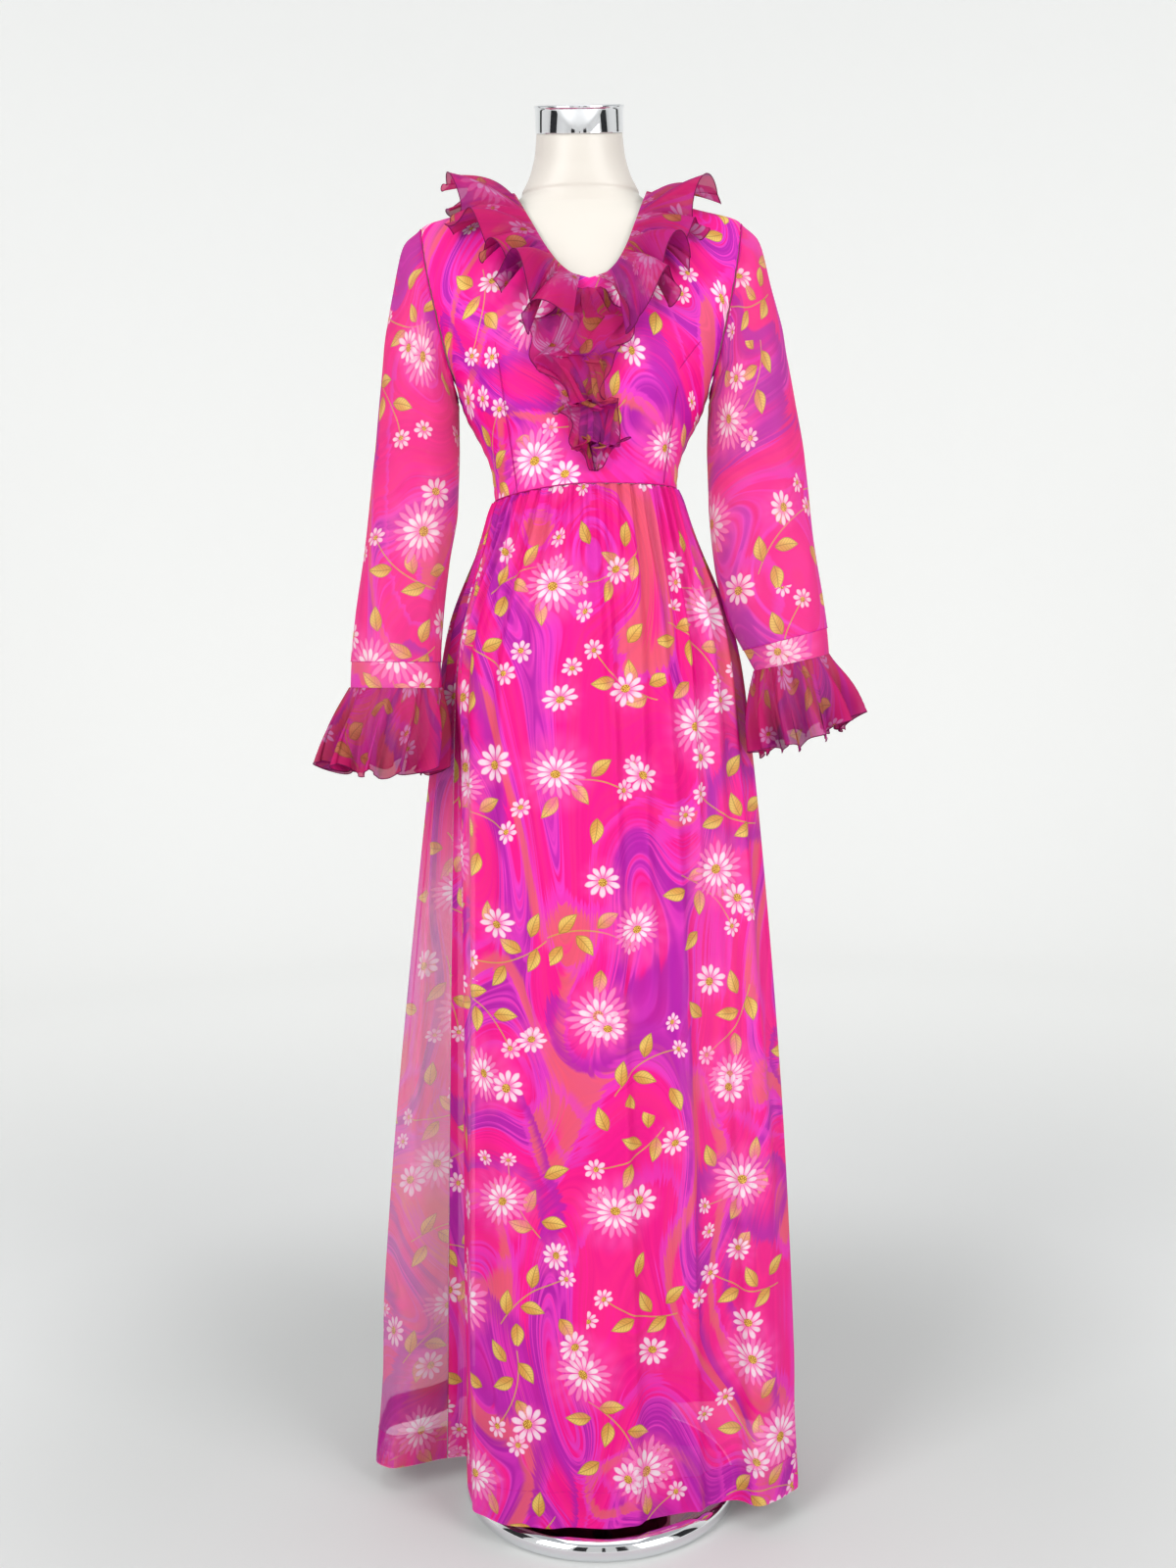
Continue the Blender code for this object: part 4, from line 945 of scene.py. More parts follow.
# %% Sleeve and cuff sizes
Section = namedtuple("Section", "along outer_x outer_z inner_x inner_z half_depth centre_y")
SLEEVE = {
    "left": [
        Section(0.00, 0.1810, 1.497, 0.1415, 1.304, 0.045, 0.000),
        Section(0.06, 0.1990, 1.478, 0.1436, 1.298, 0.050, -0.001),
        Section(0.15, 0.2130, 1.430, 0.1446, 1.288, 0.055, -0.002),
        Section(0.28, 0.2270, 1.361, 0.1450, 1.268, 0.056, -0.004),
        Section(0.42, 0.2350, 1.284, 0.1445, 1.232, 0.056, -0.009),
        Section(0.56, 0.2440, 1.205, 0.1460, 1.180, 0.053, -0.017),
        Section(0.70, 0.2520, 1.130, 0.1570, 1.118, 0.048, -0.029),
        Section(0.83, 0.2620, 1.060, 0.1650, 1.055, 0.041, -0.040),
        Section(0.93, 0.2675, 1.008, 0.1680, 1.006, 0.034, -0.049),
        Section(1.00, 0.2690, 0.979, 0.1675, 0.977, 0.031, -0.051),
    ],
    "right": [
        Section(0.00, 0.1810, 1.497, 0.1415, 1.304, 0.045, 0.000),
        Section(0.06, 0.1985, 1.478, 0.1436, 1.298, 0.050, -0.001),
        Section(0.15, 0.2130, 1.425, 0.1440, 1.288, 0.055, -0.002),
        Section(0.28, 0.2300, 1.361, 0.1430, 1.268, 0.056, -0.004),
        Section(0.42, 0.2430, 1.284, 0.1410, 1.232, 0.056, -0.009),
        Section(0.56, 0.2515, 1.205, 0.1405, 1.180, 0.054, -0.020),
        Section(0.70, 0.2580, 1.130, 0.1460, 1.112, 0.051, -0.034),
        Section(0.83, 0.2650, 1.072, 0.1590, 1.050, 0.047, -0.047),
        Section(0.93, 0.2690, 1.037, 0.1765, 1.014, 0.043, -0.054),
        Section(1.00, 0.2710, 1.008, 0.1890, 0.991, 0.041, -0.056),
    ],
}
BAND_AT, BAND_GAP = 0.93, 0.0008
CUFF_END = {
    "left": Section(2.0, 0.2900, 0.889, 0.1780, 0.885, 0.047, -0.060),
    "right": Section(2.0, 0.2950, 0.930, 0.1910, 0.897, 0.052, -0.062),
}
CUFF_WAVES = 12

# %% Skirt and lining sizes
HIP_Z, HEM_Z, SKIRT_LENGTH, SKIRT_DROP = 0.980, 0.032, 1.1686, 0.0014
GATHERS, GATHER_DEPTH = 44, 0.0022
LEFT_SEAM_SHARE, RIGHT_SEAM_SHARE = 0.80, 0.25
ZIP_FOOT_Z, ZIP_TOP_Z, SLIDER_Z = 1.036, 1.506, 1.486

Fold = namedtuple("Fold", "share hip_x hip_y hem_x hem_y bow")
FOLDS = [
    Fold(0.000, 0.0040, -0.1155, 0.0100, -0.1500, 0.000),
    Fold(0.045, 0.0420, -0.1120, 0.0560, -0.1290, 0.002),
    Fold(0.090, 0.0800, -0.1000, 0.1020, -0.1110, 0.004),
    Fold(0.130, 0.1080, -0.0860, 0.1320, -0.0945, 0.004),
    Fold(0.160, 0.1290, -0.0730, 0.1550, -0.0905, 0.004),
    Fold(0.190, 0.1480, -0.0620, 0.1895, -0.1015, 0.003),
    Fold(0.225, 0.1670, -0.0400, 0.2230, -0.0740, 0.006),
    Fold(0.260, 0.1775, -0.0080, 0.2270, -0.0250, 0.010),
    Fold(0.300, 0.1720, 0.0280, 0.2120, 0.0200, 0.008),
    Fold(0.345, 0.1600, 0.0620, 0.2200, 0.0700, 0.004),
    Fold(0.385, 0.1360, 0.0900, 0.1850, 0.0980, 0.002),
    Fold(0.415, 0.1120, 0.1100, 0.1640, 0.1440, 0.002),
    Fold(0.440, 0.0850, 0.1190, 0.1120, 0.1380, 0.002),
    Fold(0.470, 0.0480, 0.1275, 0.0600, 0.1700, 0.002),
    Fold(0.500, 0.0000, 0.1290, 0.0000, 0.1540, 0.000),
    Fold(0.530, -0.0460, 0.1280, -0.0580, 0.1760, 0.002),
    Fold(0.560, -0.0860, 0.1190, -0.1120, 0.1500, 0.002),
    Fold(0.600, -0.1200, 0.1030, -0.1660, 0.1680, 0.002),
    Fold(0.640, -0.1430, 0.0780, -0.2120, 0.1260, 0.002),
    Fold(0.680, -0.1590, 0.0500, -0.2620, 0.0960, 0.004),
    Fold(0.715, -0.1660, 0.0200, -0.2770, 0.0400, 0.004),
    Fold(0.745, -0.1640, -0.0120, -0.2605, -0.0030, 0.004),
    Fold(0.775, -0.1580, -0.0260, -0.2300, -0.0050, 0.003),
    Fold(0.800, -0.1520, -0.0340, -0.1880, 0.0100, 0.000),
    Fold(0.825, -0.1470, -0.0420, -0.1560, 0.0100, -0.002),
    Fold(0.850, -0.1430, -0.0530, -0.1615, -0.0240, -0.003),
    Fold(0.875, -0.1370, -0.0690, -0.1547, -0.0717, -0.002),
    Fold(0.900, -0.1240, -0.0860, -0.1419, -0.1038, 0.000),
    Fold(0.930, -0.0960, -0.1020, -0.1100, -0.1310, 0.000),
    Fold(0.965, -0.0480, -0.1130, -0.0500, -0.1390, 0.000),
]

Tube = namedtuple("Tube", "z centre_x half_width centre_y half_depth")
LINING = [
    Tube(1.1800, 0.000, 0.1042, -0.0010, 0.0857),
    Tube(1.1500, 0.000, 0.1090, -0.0010, 0.0880),
    Tube(1.1000, 0.000, 0.1220, 0.0015, 0.0960),
    Tube(1.0300, 0.000, 0.1345, 0.0045, 0.1060),
    Tube(0.9500, -0.002, 0.1372, 0.0070, 0.1080),
    Tube(0.7800, -0.011, 0.1270, -0.0010, 0.1100),
    Tube(0.5000, -0.021, 0.1210, -0.0120, 0.1110),
    Tube(0.2000, -0.030, 0.1180, -0.0180, 0.1110),
    Tube(0.0700, -0.033, 0.1170, -0.0200, 0.1110),
]
LINING_TOP = Tube(1.1965, 0.000, 0.1030, -0.0010, 0.0848)  # the sheet goes on up to the waist seam

# %% Frill and jabot sizes
FrillPoint = namedtuple("FrillPoint", "share x y z")
NECK_FRILL = {
    "left": [
        FrillPoint(0.00, 0.0160, 0.1030, 1.458),
        FrillPoint(0.16, 0.0600, 0.1060, 1.460),
        FrillPoint(0.28, 0.1080, 0.0840, 1.486),
        FrillPoint(0.38, 0.1440, 0.0400, 1.520),
        FrillPoint(0.46, 0.1520, 0.0020, 1.548),
        FrillPoint(0.55, 0.1460, -0.0420, 1.508),
        FrillPoint(0.66, 0.1270, -0.0760, 1.466),
        FrillPoint(0.76, 0.0980, -0.1060, 1.434),
        FrillPoint(0.86, 0.0790, -0.1240, 1.397),
        FrillPoint(0.94, 0.0560, -0.1350, 1.368),
        FrillPoint(1.00, 0.0230, -0.1400, 1.352),
    ],
    "right": [
        FrillPoint(0.00, 0.0160, 0.1030, 1.458),
        FrillPoint(0.16, 0.0600, 0.1060, 1.462),
        FrillPoint(0.28, 0.1080, 0.0840, 1.486),
        FrillPoint(0.38, 0.1420, 0.0400, 1.516),
        FrillPoint(0.46, 0.1490, 0.0000, 1.538),
        FrillPoint(0.55, 0.1440, -0.0440, 1.502),
        FrillPoint(0.66, 0.1230, -0.0760, 1.456),
        FrillPoint(0.76, 0.1060, -0.1020, 1.420),
        FrillPoint(0.86, 0.0860, -0.1220, 1.384),
        FrillPoint(0.94, 0.0640, -0.1350, 1.362),
        FrillPoint(1.00, 0.0300, -0.1400, 1.354),
    ],
}
NECK_FRILL_WAVES, BACK_SHARE, ZIP_CLEAR_X = 9, 0.34, 0.014

JabotRow = namedtuple("JabotRow", "z left_x right_x lift")
JABOT = [
    JabotRow(1.404, -0.0060, 0.0220, 0.0000),
    JabotRow(1.385, -0.0330, 0.0420, 0.0040),
    JabotRow(1.360, -0.0610, 0.0560, 0.0060),
    JabotRow(1.330, -0.0560, 0.0300, 0.0090),
    JabotRow(1.290, -0.0290, 0.0270, 0.0110),
    JabotRow(1.250, -0.0190, 0.0420, 0.0100),
    JabotRow(1.212, 0.0060, 0.0150, 0.0060),
]

# %% [markdown]
# ## Surfaces
#
# Each function takes whole arrays of places and gives back the points of a surface, so a fine sheet
# of thirty thousand points takes a moment only. The bodice's outline at a height is a rounded
# rectangle somewhere between an ellipse and a box, which is how a body in a fitted bodice measures.


# %% Small sums on arrays
def soft(x, low, high):
    """0 below low, 1 above high, and a smooth step between."""
    t = np.clip((np.asarray(x, float) - low) / (high - low), 0.0, 1.0)
    return t * t * (3 - 2 * t)


def at_points(x, y, z):
    return np.stack(np.broadcast_arrays(x, y, z), axis=-1).astype(float)


def unit(vectors):
    return vectors / np.maximum(np.linalg.norm(vectors, axis=-1, keepdims=True), 1e-12)


def outline_depth(x, half_width, depth, power):
    share = np.minimum(np.abs(x) / half_width, 1.0)
    return depth * (1.0 - share**power) ** (1.0 / power)


def outline_xy(angle, half_width, front, back, power):
    across, along = np.sin(angle), np.cos(angle)
    depth = np.where(along > 0, front, back)
    x = half_width * np.sign(across) * np.abs(across) ** (2 / power)
    return x, -depth * np.sign(along) * np.abs(along) ** (2 / power)


# %% The bodice's surface
BODY = curves_of(BODICE, "z")
ARM = curves_of(ARMHOLE, "z")
NECK_OPEN = curve_through([row.z for row in NECKLINE], [row.half_width for row in NECKLINE])


def body_y(x, z, side):
    """The bodice at a point of the front (side -1) or the back (side 1)."""
    depth = BODY["front" if side < 0 else "back"](z)
    return side * outline_depth(x, BODY["half_width"](z), depth, BODY["power"](z))


def body_out(x, z, side, step=0.002):
    """The outward direction of that surface."""
    across = (body_y(x + step, z, side) - body_y(x - step, z, side)) / (2 * step)
    upward = (body_y(x, z + step, side) - body_y(x, z - step, side)) / (2 * step)
    return unit(at_points(-side * across, side, -side * upward))


def panel_edge_x(z, side):
    arm = ARM["front_x" if side < 0 else "back_x"](z)
    return np.where(z <= UNDERARM_Z, BODY["half_width"](z), arm)


def waist_z(x):
    return WAIST_Z - WAIST_DROP_LEFT * np.clip(-x / WAIST_HALF, 0.0, 1.0) ** 1.5


def ridge_z(x):
    return np.interp(np.abs(x), [NECK_X, SHOULDER_X], [NECK_Z, SHOULDER_Z])


def neckline_x(z, hand):
    return NECK_V_X * (NECK_Z - z) / (NECK_Z - NECK_V_Z) + hand * NECK_OPEN(z)


def neckline_z(x):
    heights = np.linspace(NECK_V_Z, NECK_Z, 90)
    left = np.interp(-x, -neckline_x(heights, -1), heights)
    right = np.interp(x, neckline_x(heights, 1), heights)
    return np.where(x < NECK_V_X, left, right)


def back_neck_z(x):
    return BACK_NECK_Z + (NECK_Z - BACK_NECK_Z) * (np.abs(x) / NECK_X) ** 2


# %% [markdown]
# ## Listed creases
#
# A crease is a soft trough or ridge along a slightly bowed line. Each table row gives its two ends
# on the piece, its half width, its height (below zero for a trough) and its bow, all in metres. The
# rows were placed on the photo; on the hidden sides similar ones follow the same pulls.

# %% The crease sum
Crease = namedtuple("Crease", "x0 z0 x1 z1 width height bow")


def creased(x, z, rows):
    total = np.zeros(np.broadcast(x, z).shape)
    for row in rows:
        run_x, run_z = row.x1 - row.x0, row.z1 - row.z0
        length = math.hypot(run_x, run_z)
        share = ((x - row.x0) * run_x + (z - row.z0) * run_z) / length**2
        off = ((x - row.x0) * run_z - (z - row.z0) * run_x) / length
        off = off - row.bow * 4 * share * (1 - share)
        fade = soft(share, -0.08, 0.22) * (1 - soft(share, 0.78, 1.08))
        total += row.height * np.exp(-((off / row.width) ** 2)) * fade
    return total


FRONT_CREASES = [
    Crease(-0.078, 1.180, -0.095, 1.351, 0.0050, -0.0022, 0.000),
    Crease(0.090, 1.190, 0.103, 1.304, 0.0050, -0.0022, 0.000),
    Crease(0.100, 1.318, 0.128, 1.352, 0.0045, -0.0016, 0.000),
    Crease(-0.104, 1.330, -0.136, 1.372, 0.0060, -0.0010, 0.003),
    Crease(-0.095, 1.356, -0.082, 1.395, 0.0090, 0.0012, 0.000),
    Crease(0.106, 1.300, 0.094, 1.350, 0.0100, 0.0012, 0.000),
    Crease(-0.146, 1.395, -0.108, 1.452, 0.0090, -0.0014, 0.006),
    Crease(0.148, 1.400, 0.108, 1.455, 0.0090, -0.0014, -0.006),
    Crease(-0.132, 1.318, -0.090, 1.300, 0.0070, -0.0012, 0.002),
    Crease(0.134, 1.322, 0.110, 1.262, 0.0070, -0.0013, 0.004),
    Crease(0.050, 1.206, 0.064, 1.276, 0.0070, -0.0012, 0.003),
    Crease(0.024, 1.205, 0.028, 1.262, 0.0080, -0.0009, 0.002),
    Crease(-0.050, 1.200, -0.058, 1.262, 0.0080, -0.0010, -0.003),
    Crease(-0.098, 1.212, -0.040, 1.204, 0.0040, -0.0010, 0.001),
    Crease(0.030, 1.212, 0.098, 1.214, 0.0040, -0.0009, -0.001),
]
BACK_CREASES = [
    Crease(0.060, 1.190, 0.070, 1.330, 0.0050, -0.0020, 0.000),
    Crease(0.146, 1.392, 0.100, 1.450, 0.0100, -0.0014, -0.006),
    Crease(0.132, 1.318, 0.088, 1.296, 0.0080, -0.0013, 0.003),
    Crease(0.122, 1.285, 0.080, 1.240, 0.0080, -0.0012, 0.003),
    Crease(0.014, 1.215, 0.085, 1.228, 0.0050, -0.0012, -0.002),
    Crease(0.012, 1.250, 0.062, 1.243, 0.0060, -0.0010, 0.002),
    Crease(0.030, 1.420, 0.120, 1.405, 0.0120, 0.0012, 0.004),
]

# %% [markdown]
# ## Form
#
# The shell is moulded plastic with a closed, rounded outline at every height. It is drawn a little
# smaller than the dress, and above the shoulders it draws in faster, to the neck that leans forward
# under the chrome cap. The cap, pole and base are turned on a lathe, so each is a profile spun
# round.

# %% Shell of the form
NeckRing = namedtuple("NeckRing", "z half_width half_depth centre_y lean")
HIPS = [
    Ring(0.800, 0.1120, 0.0800, 0.0920, 2.05),
    Ring(0.820, 0.1155, 0.0830, 0.0950, 2.05),
    Ring(0.900, 0.1240, 0.0890, 0.1030, 2.05),
    Ring(0.970, 0.1285, 0.0920, 0.1070, 2.05),
    Ring(1.040, 0.1270, 0.0915, 0.1020, 2.05),
    Ring(1.110, 0.1165, 0.0880, 0.0910, 2.05),
    Ring(1.160, 0.1065, 0.0860, 0.0845, 2.05),
]
NECK = [
    NeckRing(1.5300, 0.0690, 0.0450, 0.0050, 0.00),
    NeckRing(1.5380, 0.0660, 0.0465, 0.0045, 0.15),
    NeckRing(1.5520, 0.0588, 0.0470, 0.0035, 0.35),
    NeckRing(1.5660, 0.0540, 0.0475, 0.0025, 0.60),
    NeckRing(1.5800, 0.0508, 0.0480, 0.0005, 0.85),
]
FORM_CLEAR, SEAT_CLEAR, SEAT_Z, NECK_CLEAR = 0.0036, 0.0013, 1.44, 0.22
CAP_RADIUS, CAP_HEIGHT, CAP_TILT = 0.0512, 0.0290, math.radians(19.5)
CAP_TOP = np.array([0.0, -0.012, 1.6285])
CAP_AXIS = np.array([0.0, -math.sin(CAP_TILT), math.cos(CAP_TILT)])
NECK_TOP_RADIUS = 0.0487
FORM = curves_of(HIPS + [ring for ring in BODICE if ring.z > 1.19], "z")


def form_ring(z, angle):
    share = float(np.clip((z - SEAT_Z) / (SHOULDER_Z - SEAT_Z), 0.0, 1.0))
    clear = FORM_CLEAR + (SEAT_CLEAR - FORM_CLEAR) * share + NECK_CLEAR * max(0.0, z - SHOULDER_Z)
    level = z + clear * share
    sizes = [FORM[name](level) - clear for name in ("half_width", "front", "back")]
    return at_points(*outline_xy(angle, *sizes, FORM["power"](level)), z)


def neck_ring(centre, half_width, half_depth, lean, angle):
    tilt = CAP_TILT * lean
    front = np.array([0.0, -math.cos(tilt), -math.sin(tilt)])
    return (
        centre + half_depth * np.outer(np.cos(angle), front)
        + half_width * np.outer(np.sin(angle), (1, 0, 0))
    )


def shell_points():
    angle = np.linspace(0.0, 2 * math.pi, 145)
    rings = [form_ring(z, angle) for z in np.linspace(0.800, 1.517, 96)]
    top = CAP_TOP - (CAP_HEIGHT + 0.0003) * CAP_AXIS
    coarse = [rings[-1]]
    for row in NECK:
        centre = np.array([0.0, row.centre_y, row.z])
        coarse.append(neck_ring(centre, row.half_width, row.half_depth, row.lean, angle))
    coarse.append(neck_ring(top, NECK_TOP_RADIUS, NECK_TOP_RADIUS, 1.0, angle))
    coarse = np.array(coarse)
    fine = np.linspace(0, len(coarse) - 1, 46)
    curve = [
        [curve_through(range(len(coarse)), coarse[:, i, axis], True)(fine) for axis in range(3)]
        for i in range(len(angle))
    ]
    neck = np.transpose(np.array(curve), (2, 0, 1))
    return np.concatenate([np.array(rings), neck[1:]])


def capped(points):
    """A closed tube with each end drawn in to its middle, as a shell's flat foot and top."""
    foot = points[0] * 0.0 + points[0][:-1].mean(axis=0)
    head = points[-1] * 0.0 + points[-1][:-1].mean(axis=0)
    lip = points[0] + (foot - points[0]) * 0.03
    return np.concatenate([foot[None], lip[None], points, head[None]])


shell = cloth_sheet("form_shell", capped(shell_points()), shell_white, closed=True)

# %% Cap, pole and base
def turned(name, profile, finish, steps=160):
    """A profile of (radius, z) from the top down its outer side, spun round Z."""
    angle = np.arange(steps) * 2 * math.pi / steps
    rings = np.array(
        [at_points(r * np.sin(angle), -r * np.cos(angle), z) for r, z in profile[::-1]]
    )
    return mesh_object(name, rings, grid_faces(len(profile), steps, True), finish)


BASE_RADIUS, BASE_HEIGHT, POLE_RADIUS, FORM_FOOT_Z = 0.1638, 0.026, 0.0125, 0.800
lip = [
    (CAP_RADIUS - 0.0018 + 0.0018 * math.sin(a), CAP_HEIGHT - 0.0018 + 0.0018 * math.cos(a))
    for a in np.linspace(0, 2.4, 9)
]
cap_profile = [(0.0, CAP_HEIGHT)] + lip + [
    (CAP_RADIUS - 0.0012, CAP_HEIGHT - 0.0052),
    (CAP_RADIUS - 0.0012, 0.0010),
    (CAP_RADIUS - 0.0022, 0.0),
    (0.0, 0.0),
]
neck_cap = turned("chrome_cap", cap_profile, chrome)
neck_cap.matrix_world = (
    Matrix.Translation(CAP_TOP - CAP_HEIGHT * CAP_AXIS) @ Matrix.Rotation(CAP_TILT, 4, "X")
)
rim = [
    (BASE_RADIUS - 0.0145 + 0.0145 * math.sin(a), 0.0115 + 0.0135 * math.cos(a))
    for a in np.linspace(0, math.pi / 2, 12)
]
base_profile = (
    [(0.0, BASE_HEIGHT + 0.001), (0.110, BASE_HEIGHT + 0.0005)] + rim
    + [(BASE_RADIUS - 0.0015, 0.0050), (BASE_RADIUS - 0.0060, 0.0), (0.0, 0.0)]
)
base = turned("chrome_base", base_profile, chrome, 256)
pole_head, pole_foot = FORM_FOOT_Z - 0.0003, BASE_HEIGHT + 0.0013
pole_profile = [(0.0, pole_head), (POLE_RADIUS, pole_head)]
pole_profile += [(POLE_RADIUS, pole_foot), (0.0, pole_foot)]
pole = turned("chrome_pole", pole_profile, chrome, 64)
for metal in (neck_cap, base, pole):
    metal.data.set_sharp_from_angle(angle=math.radians(35))
print("form built: shell, cap, pole, base")

# %% [markdown]
# ## Bodice
#
# The front is cut in one piece with darts, and the back in two halves that meet at the zip. The
# columns of each panel run from the waist seam to the neck or the shoulder. Silk chiffon over its
# backing is smooth where it is stretched over the bust, and puckers a little along the seams.

# %% Bodice panels
NECK_STOPS = curve_through(
    np.arange(6) / 12, np.array([0.00, 0.42, 0.74, 0.91, 0.98, 1.00]) * NECK_X
)
NECK_TURN = math.asin(NECK_X / SHOULDER_X)


def top_edge_x(across):
    turn = NECK_TURN + (math.pi / 2 - NECK_TURN) * np.clip((across - 5 / 12) * 12 / 7, 0.0, 1.0)
    return np.where(across <= 5 / 12, NECK_STOPS(across), SHOULDER_X * np.sin(turn))


def bodice_grid(across, side, rows=120):
    """The panel's x and z for shares of its half width, rows from the waist seam to the top."""
    top_x = np.copysign(top_edge_x(np.abs(across)), across)
    at_neck = np.abs(top_x) < NECK_X - 1e-6
    if side < 0:
        top_x = top_x + np.where(at_neck, NECK_V_X * (1 - np.abs(top_x) / NECK_X), 0.0)
        top_z = np.where(at_neck, neckline_z(top_x), ridge_z(top_x))
    else:
        top_z = np.where(at_neck, back_neck_z(top_x), ridge_z(top_x))
    low_z = waist_z(top_x / SHOULDER_X * WAIST_HALF)
    climb = 1.0 - (1.0 - np.linspace(0.0, 1.0, rows + 1)[:, None]) ** 1.5
    z = low_z + (top_z - low_z) * climb
    x = top_x / SHOULDER_X * panel_edge_x(z, side)
    settled = np.maximum(0.0, (z - SETTLE_Z) / (top_z - SETTLE_Z))
    return x + (top_x - top_x / SHOULDER_X * panel_edge_x(top_z, side)) * settled, z


def puckers(x, z, side):
    """Fine ripples that run off the side seam, the armhole and the waist seam."""
    from_edge = panel_edge_x(z, side) - np.abs(x)
    from_waist = z - waist_z(x)
    edge_ripple = np.sin(z * 420 + bumpy(z * 60, x * 40, 1.0) * 3) * np.exp(-from_edge / 0.010)
    waist_ripple = np.sin(x * 380 + bumpy(x * 70, z * 30, 2.0) * 3) * np.exp(-from_waist / 0.009)
    return 0.00035 * (edge_ripple + waist_ripple)


def bodice_sheet(name, across, side, creases, flip, finish, shift):
    x, z = bodice_grid(across, side)
    relief = CLOTH_LIFT + creased(np.abs(x) if side > 0 else x, z, creases) + puckers(x, z, side)
    relief = (
        relief + 0.0007 * bumpy(x * 46, z * 38, 3.0 + side)
        * soft(panel_edge_x(z, side) - np.abs(x), 0.0, 0.02)
    )
    points = (
        at_points(x, body_y(x, z, side), z)
        + body_out(x, z, side) * np.maximum(relief, -0.0014)[..., None]
    )
    if flip:
        points = points[:, ::-1]
    return cloth_sheet(name, points, finish, shift)


BESIDE_ZIP = 0.020  # the back halves stop this share of their width short of centre back
bodice_front = bodice_sheet(
    "bodice_front_cloth", np.linspace(-1, 1, 193), -1, FRONT_CREASES, False, bodice_chiffon,
    (0.42, 0.33)
)
backs = {}
for side_name, hand in (("left", -1), ("right", 1)):
    shares = hand * np.linspace(BESIDE_ZIP, 1.0, 97)
    backs[side_name] = bodice_sheet(
        f"bodice_back_{side_name}_cloth", shares, 1, BACK_CREASES, hand > 0, bodice_chiffon,
        (1.3 * hand, 2.1)
    )
print("bodice front area, m2:", round(area_of(bodice_front), 4))

# %% [markdown]
# ## Sleeves, wrist bands and cuff frills
#
# A set-in sleeve is one tube. Its first ring follows the armhole, and its last meets the 30 mm
# wrist band. Unlined chiffon hangs off the arm in a few long drapes, with short creases where the
# armpit and the elbow pull it. The cuff frill is a gathered ring whose waves deepen towards its
# rolled edge.

# %% Sleeve surface
SLEEVE_GIRTH, SLEEVE_DOWN = 0.30, 0.55  # roughly, to place creases in metres


def section_points(at, angle):
    outer = at_points(at["outer_x"], at["centre_y"], at["outer_z"])
    inner = at_points(at["inner_x"], at["centre_y"], at["inner_z"])
    swing = (
        np.asarray(at["half_depth"])[..., None] * np.sin(angle)[..., None]
        * np.array([0.0, -1.0, 0.0])
    )
    return (outer + inner) / 2 + (outer - inner) / 2 * np.cos(angle)[..., None] + swing


def armhole_points(angle):
    z = (SHOULDER_Z + UNDERARM_Z) / 2 + (SHOULDER_Z - UNDERARM_Z) / 2 * np.cos(angle)
    front = np.sin(angle) >= 0
    x = np.where(front, panel_edge_x(z, -1), panel_edge_x(z, 1))
    x = np.where(z - UNDERARM_Z < 1e-6, BODY["half_width"](UNDERARM_Z), x)
    y = np.where(front, body_y(x, z, -1), body_y(x, z, 1)) * (np.abs(np.sin(angle)) > 1e-6)
    return at_points(x + 0.0012 + 0.0024 * np.abs(np.sin(angle / 2)), y, z)


def sleeve_points(side, along, angle):
    """Points of the sleeve: angle 0 is its outer line, and a quarter turn on is its front."""
    curves = curves_of(SLEEVE[side], "along")
    at = {name: curve(along) for name, curve in curves.items()}
    first = {name: curve(along * 0.0) for name, curve in curves.items()}
    fade = np.maximum(0.0, 1.0 - along / 0.10)[..., None]
    return section_points(at, angle) + (armhole_points(angle) - section_points(first, angle)) * fade


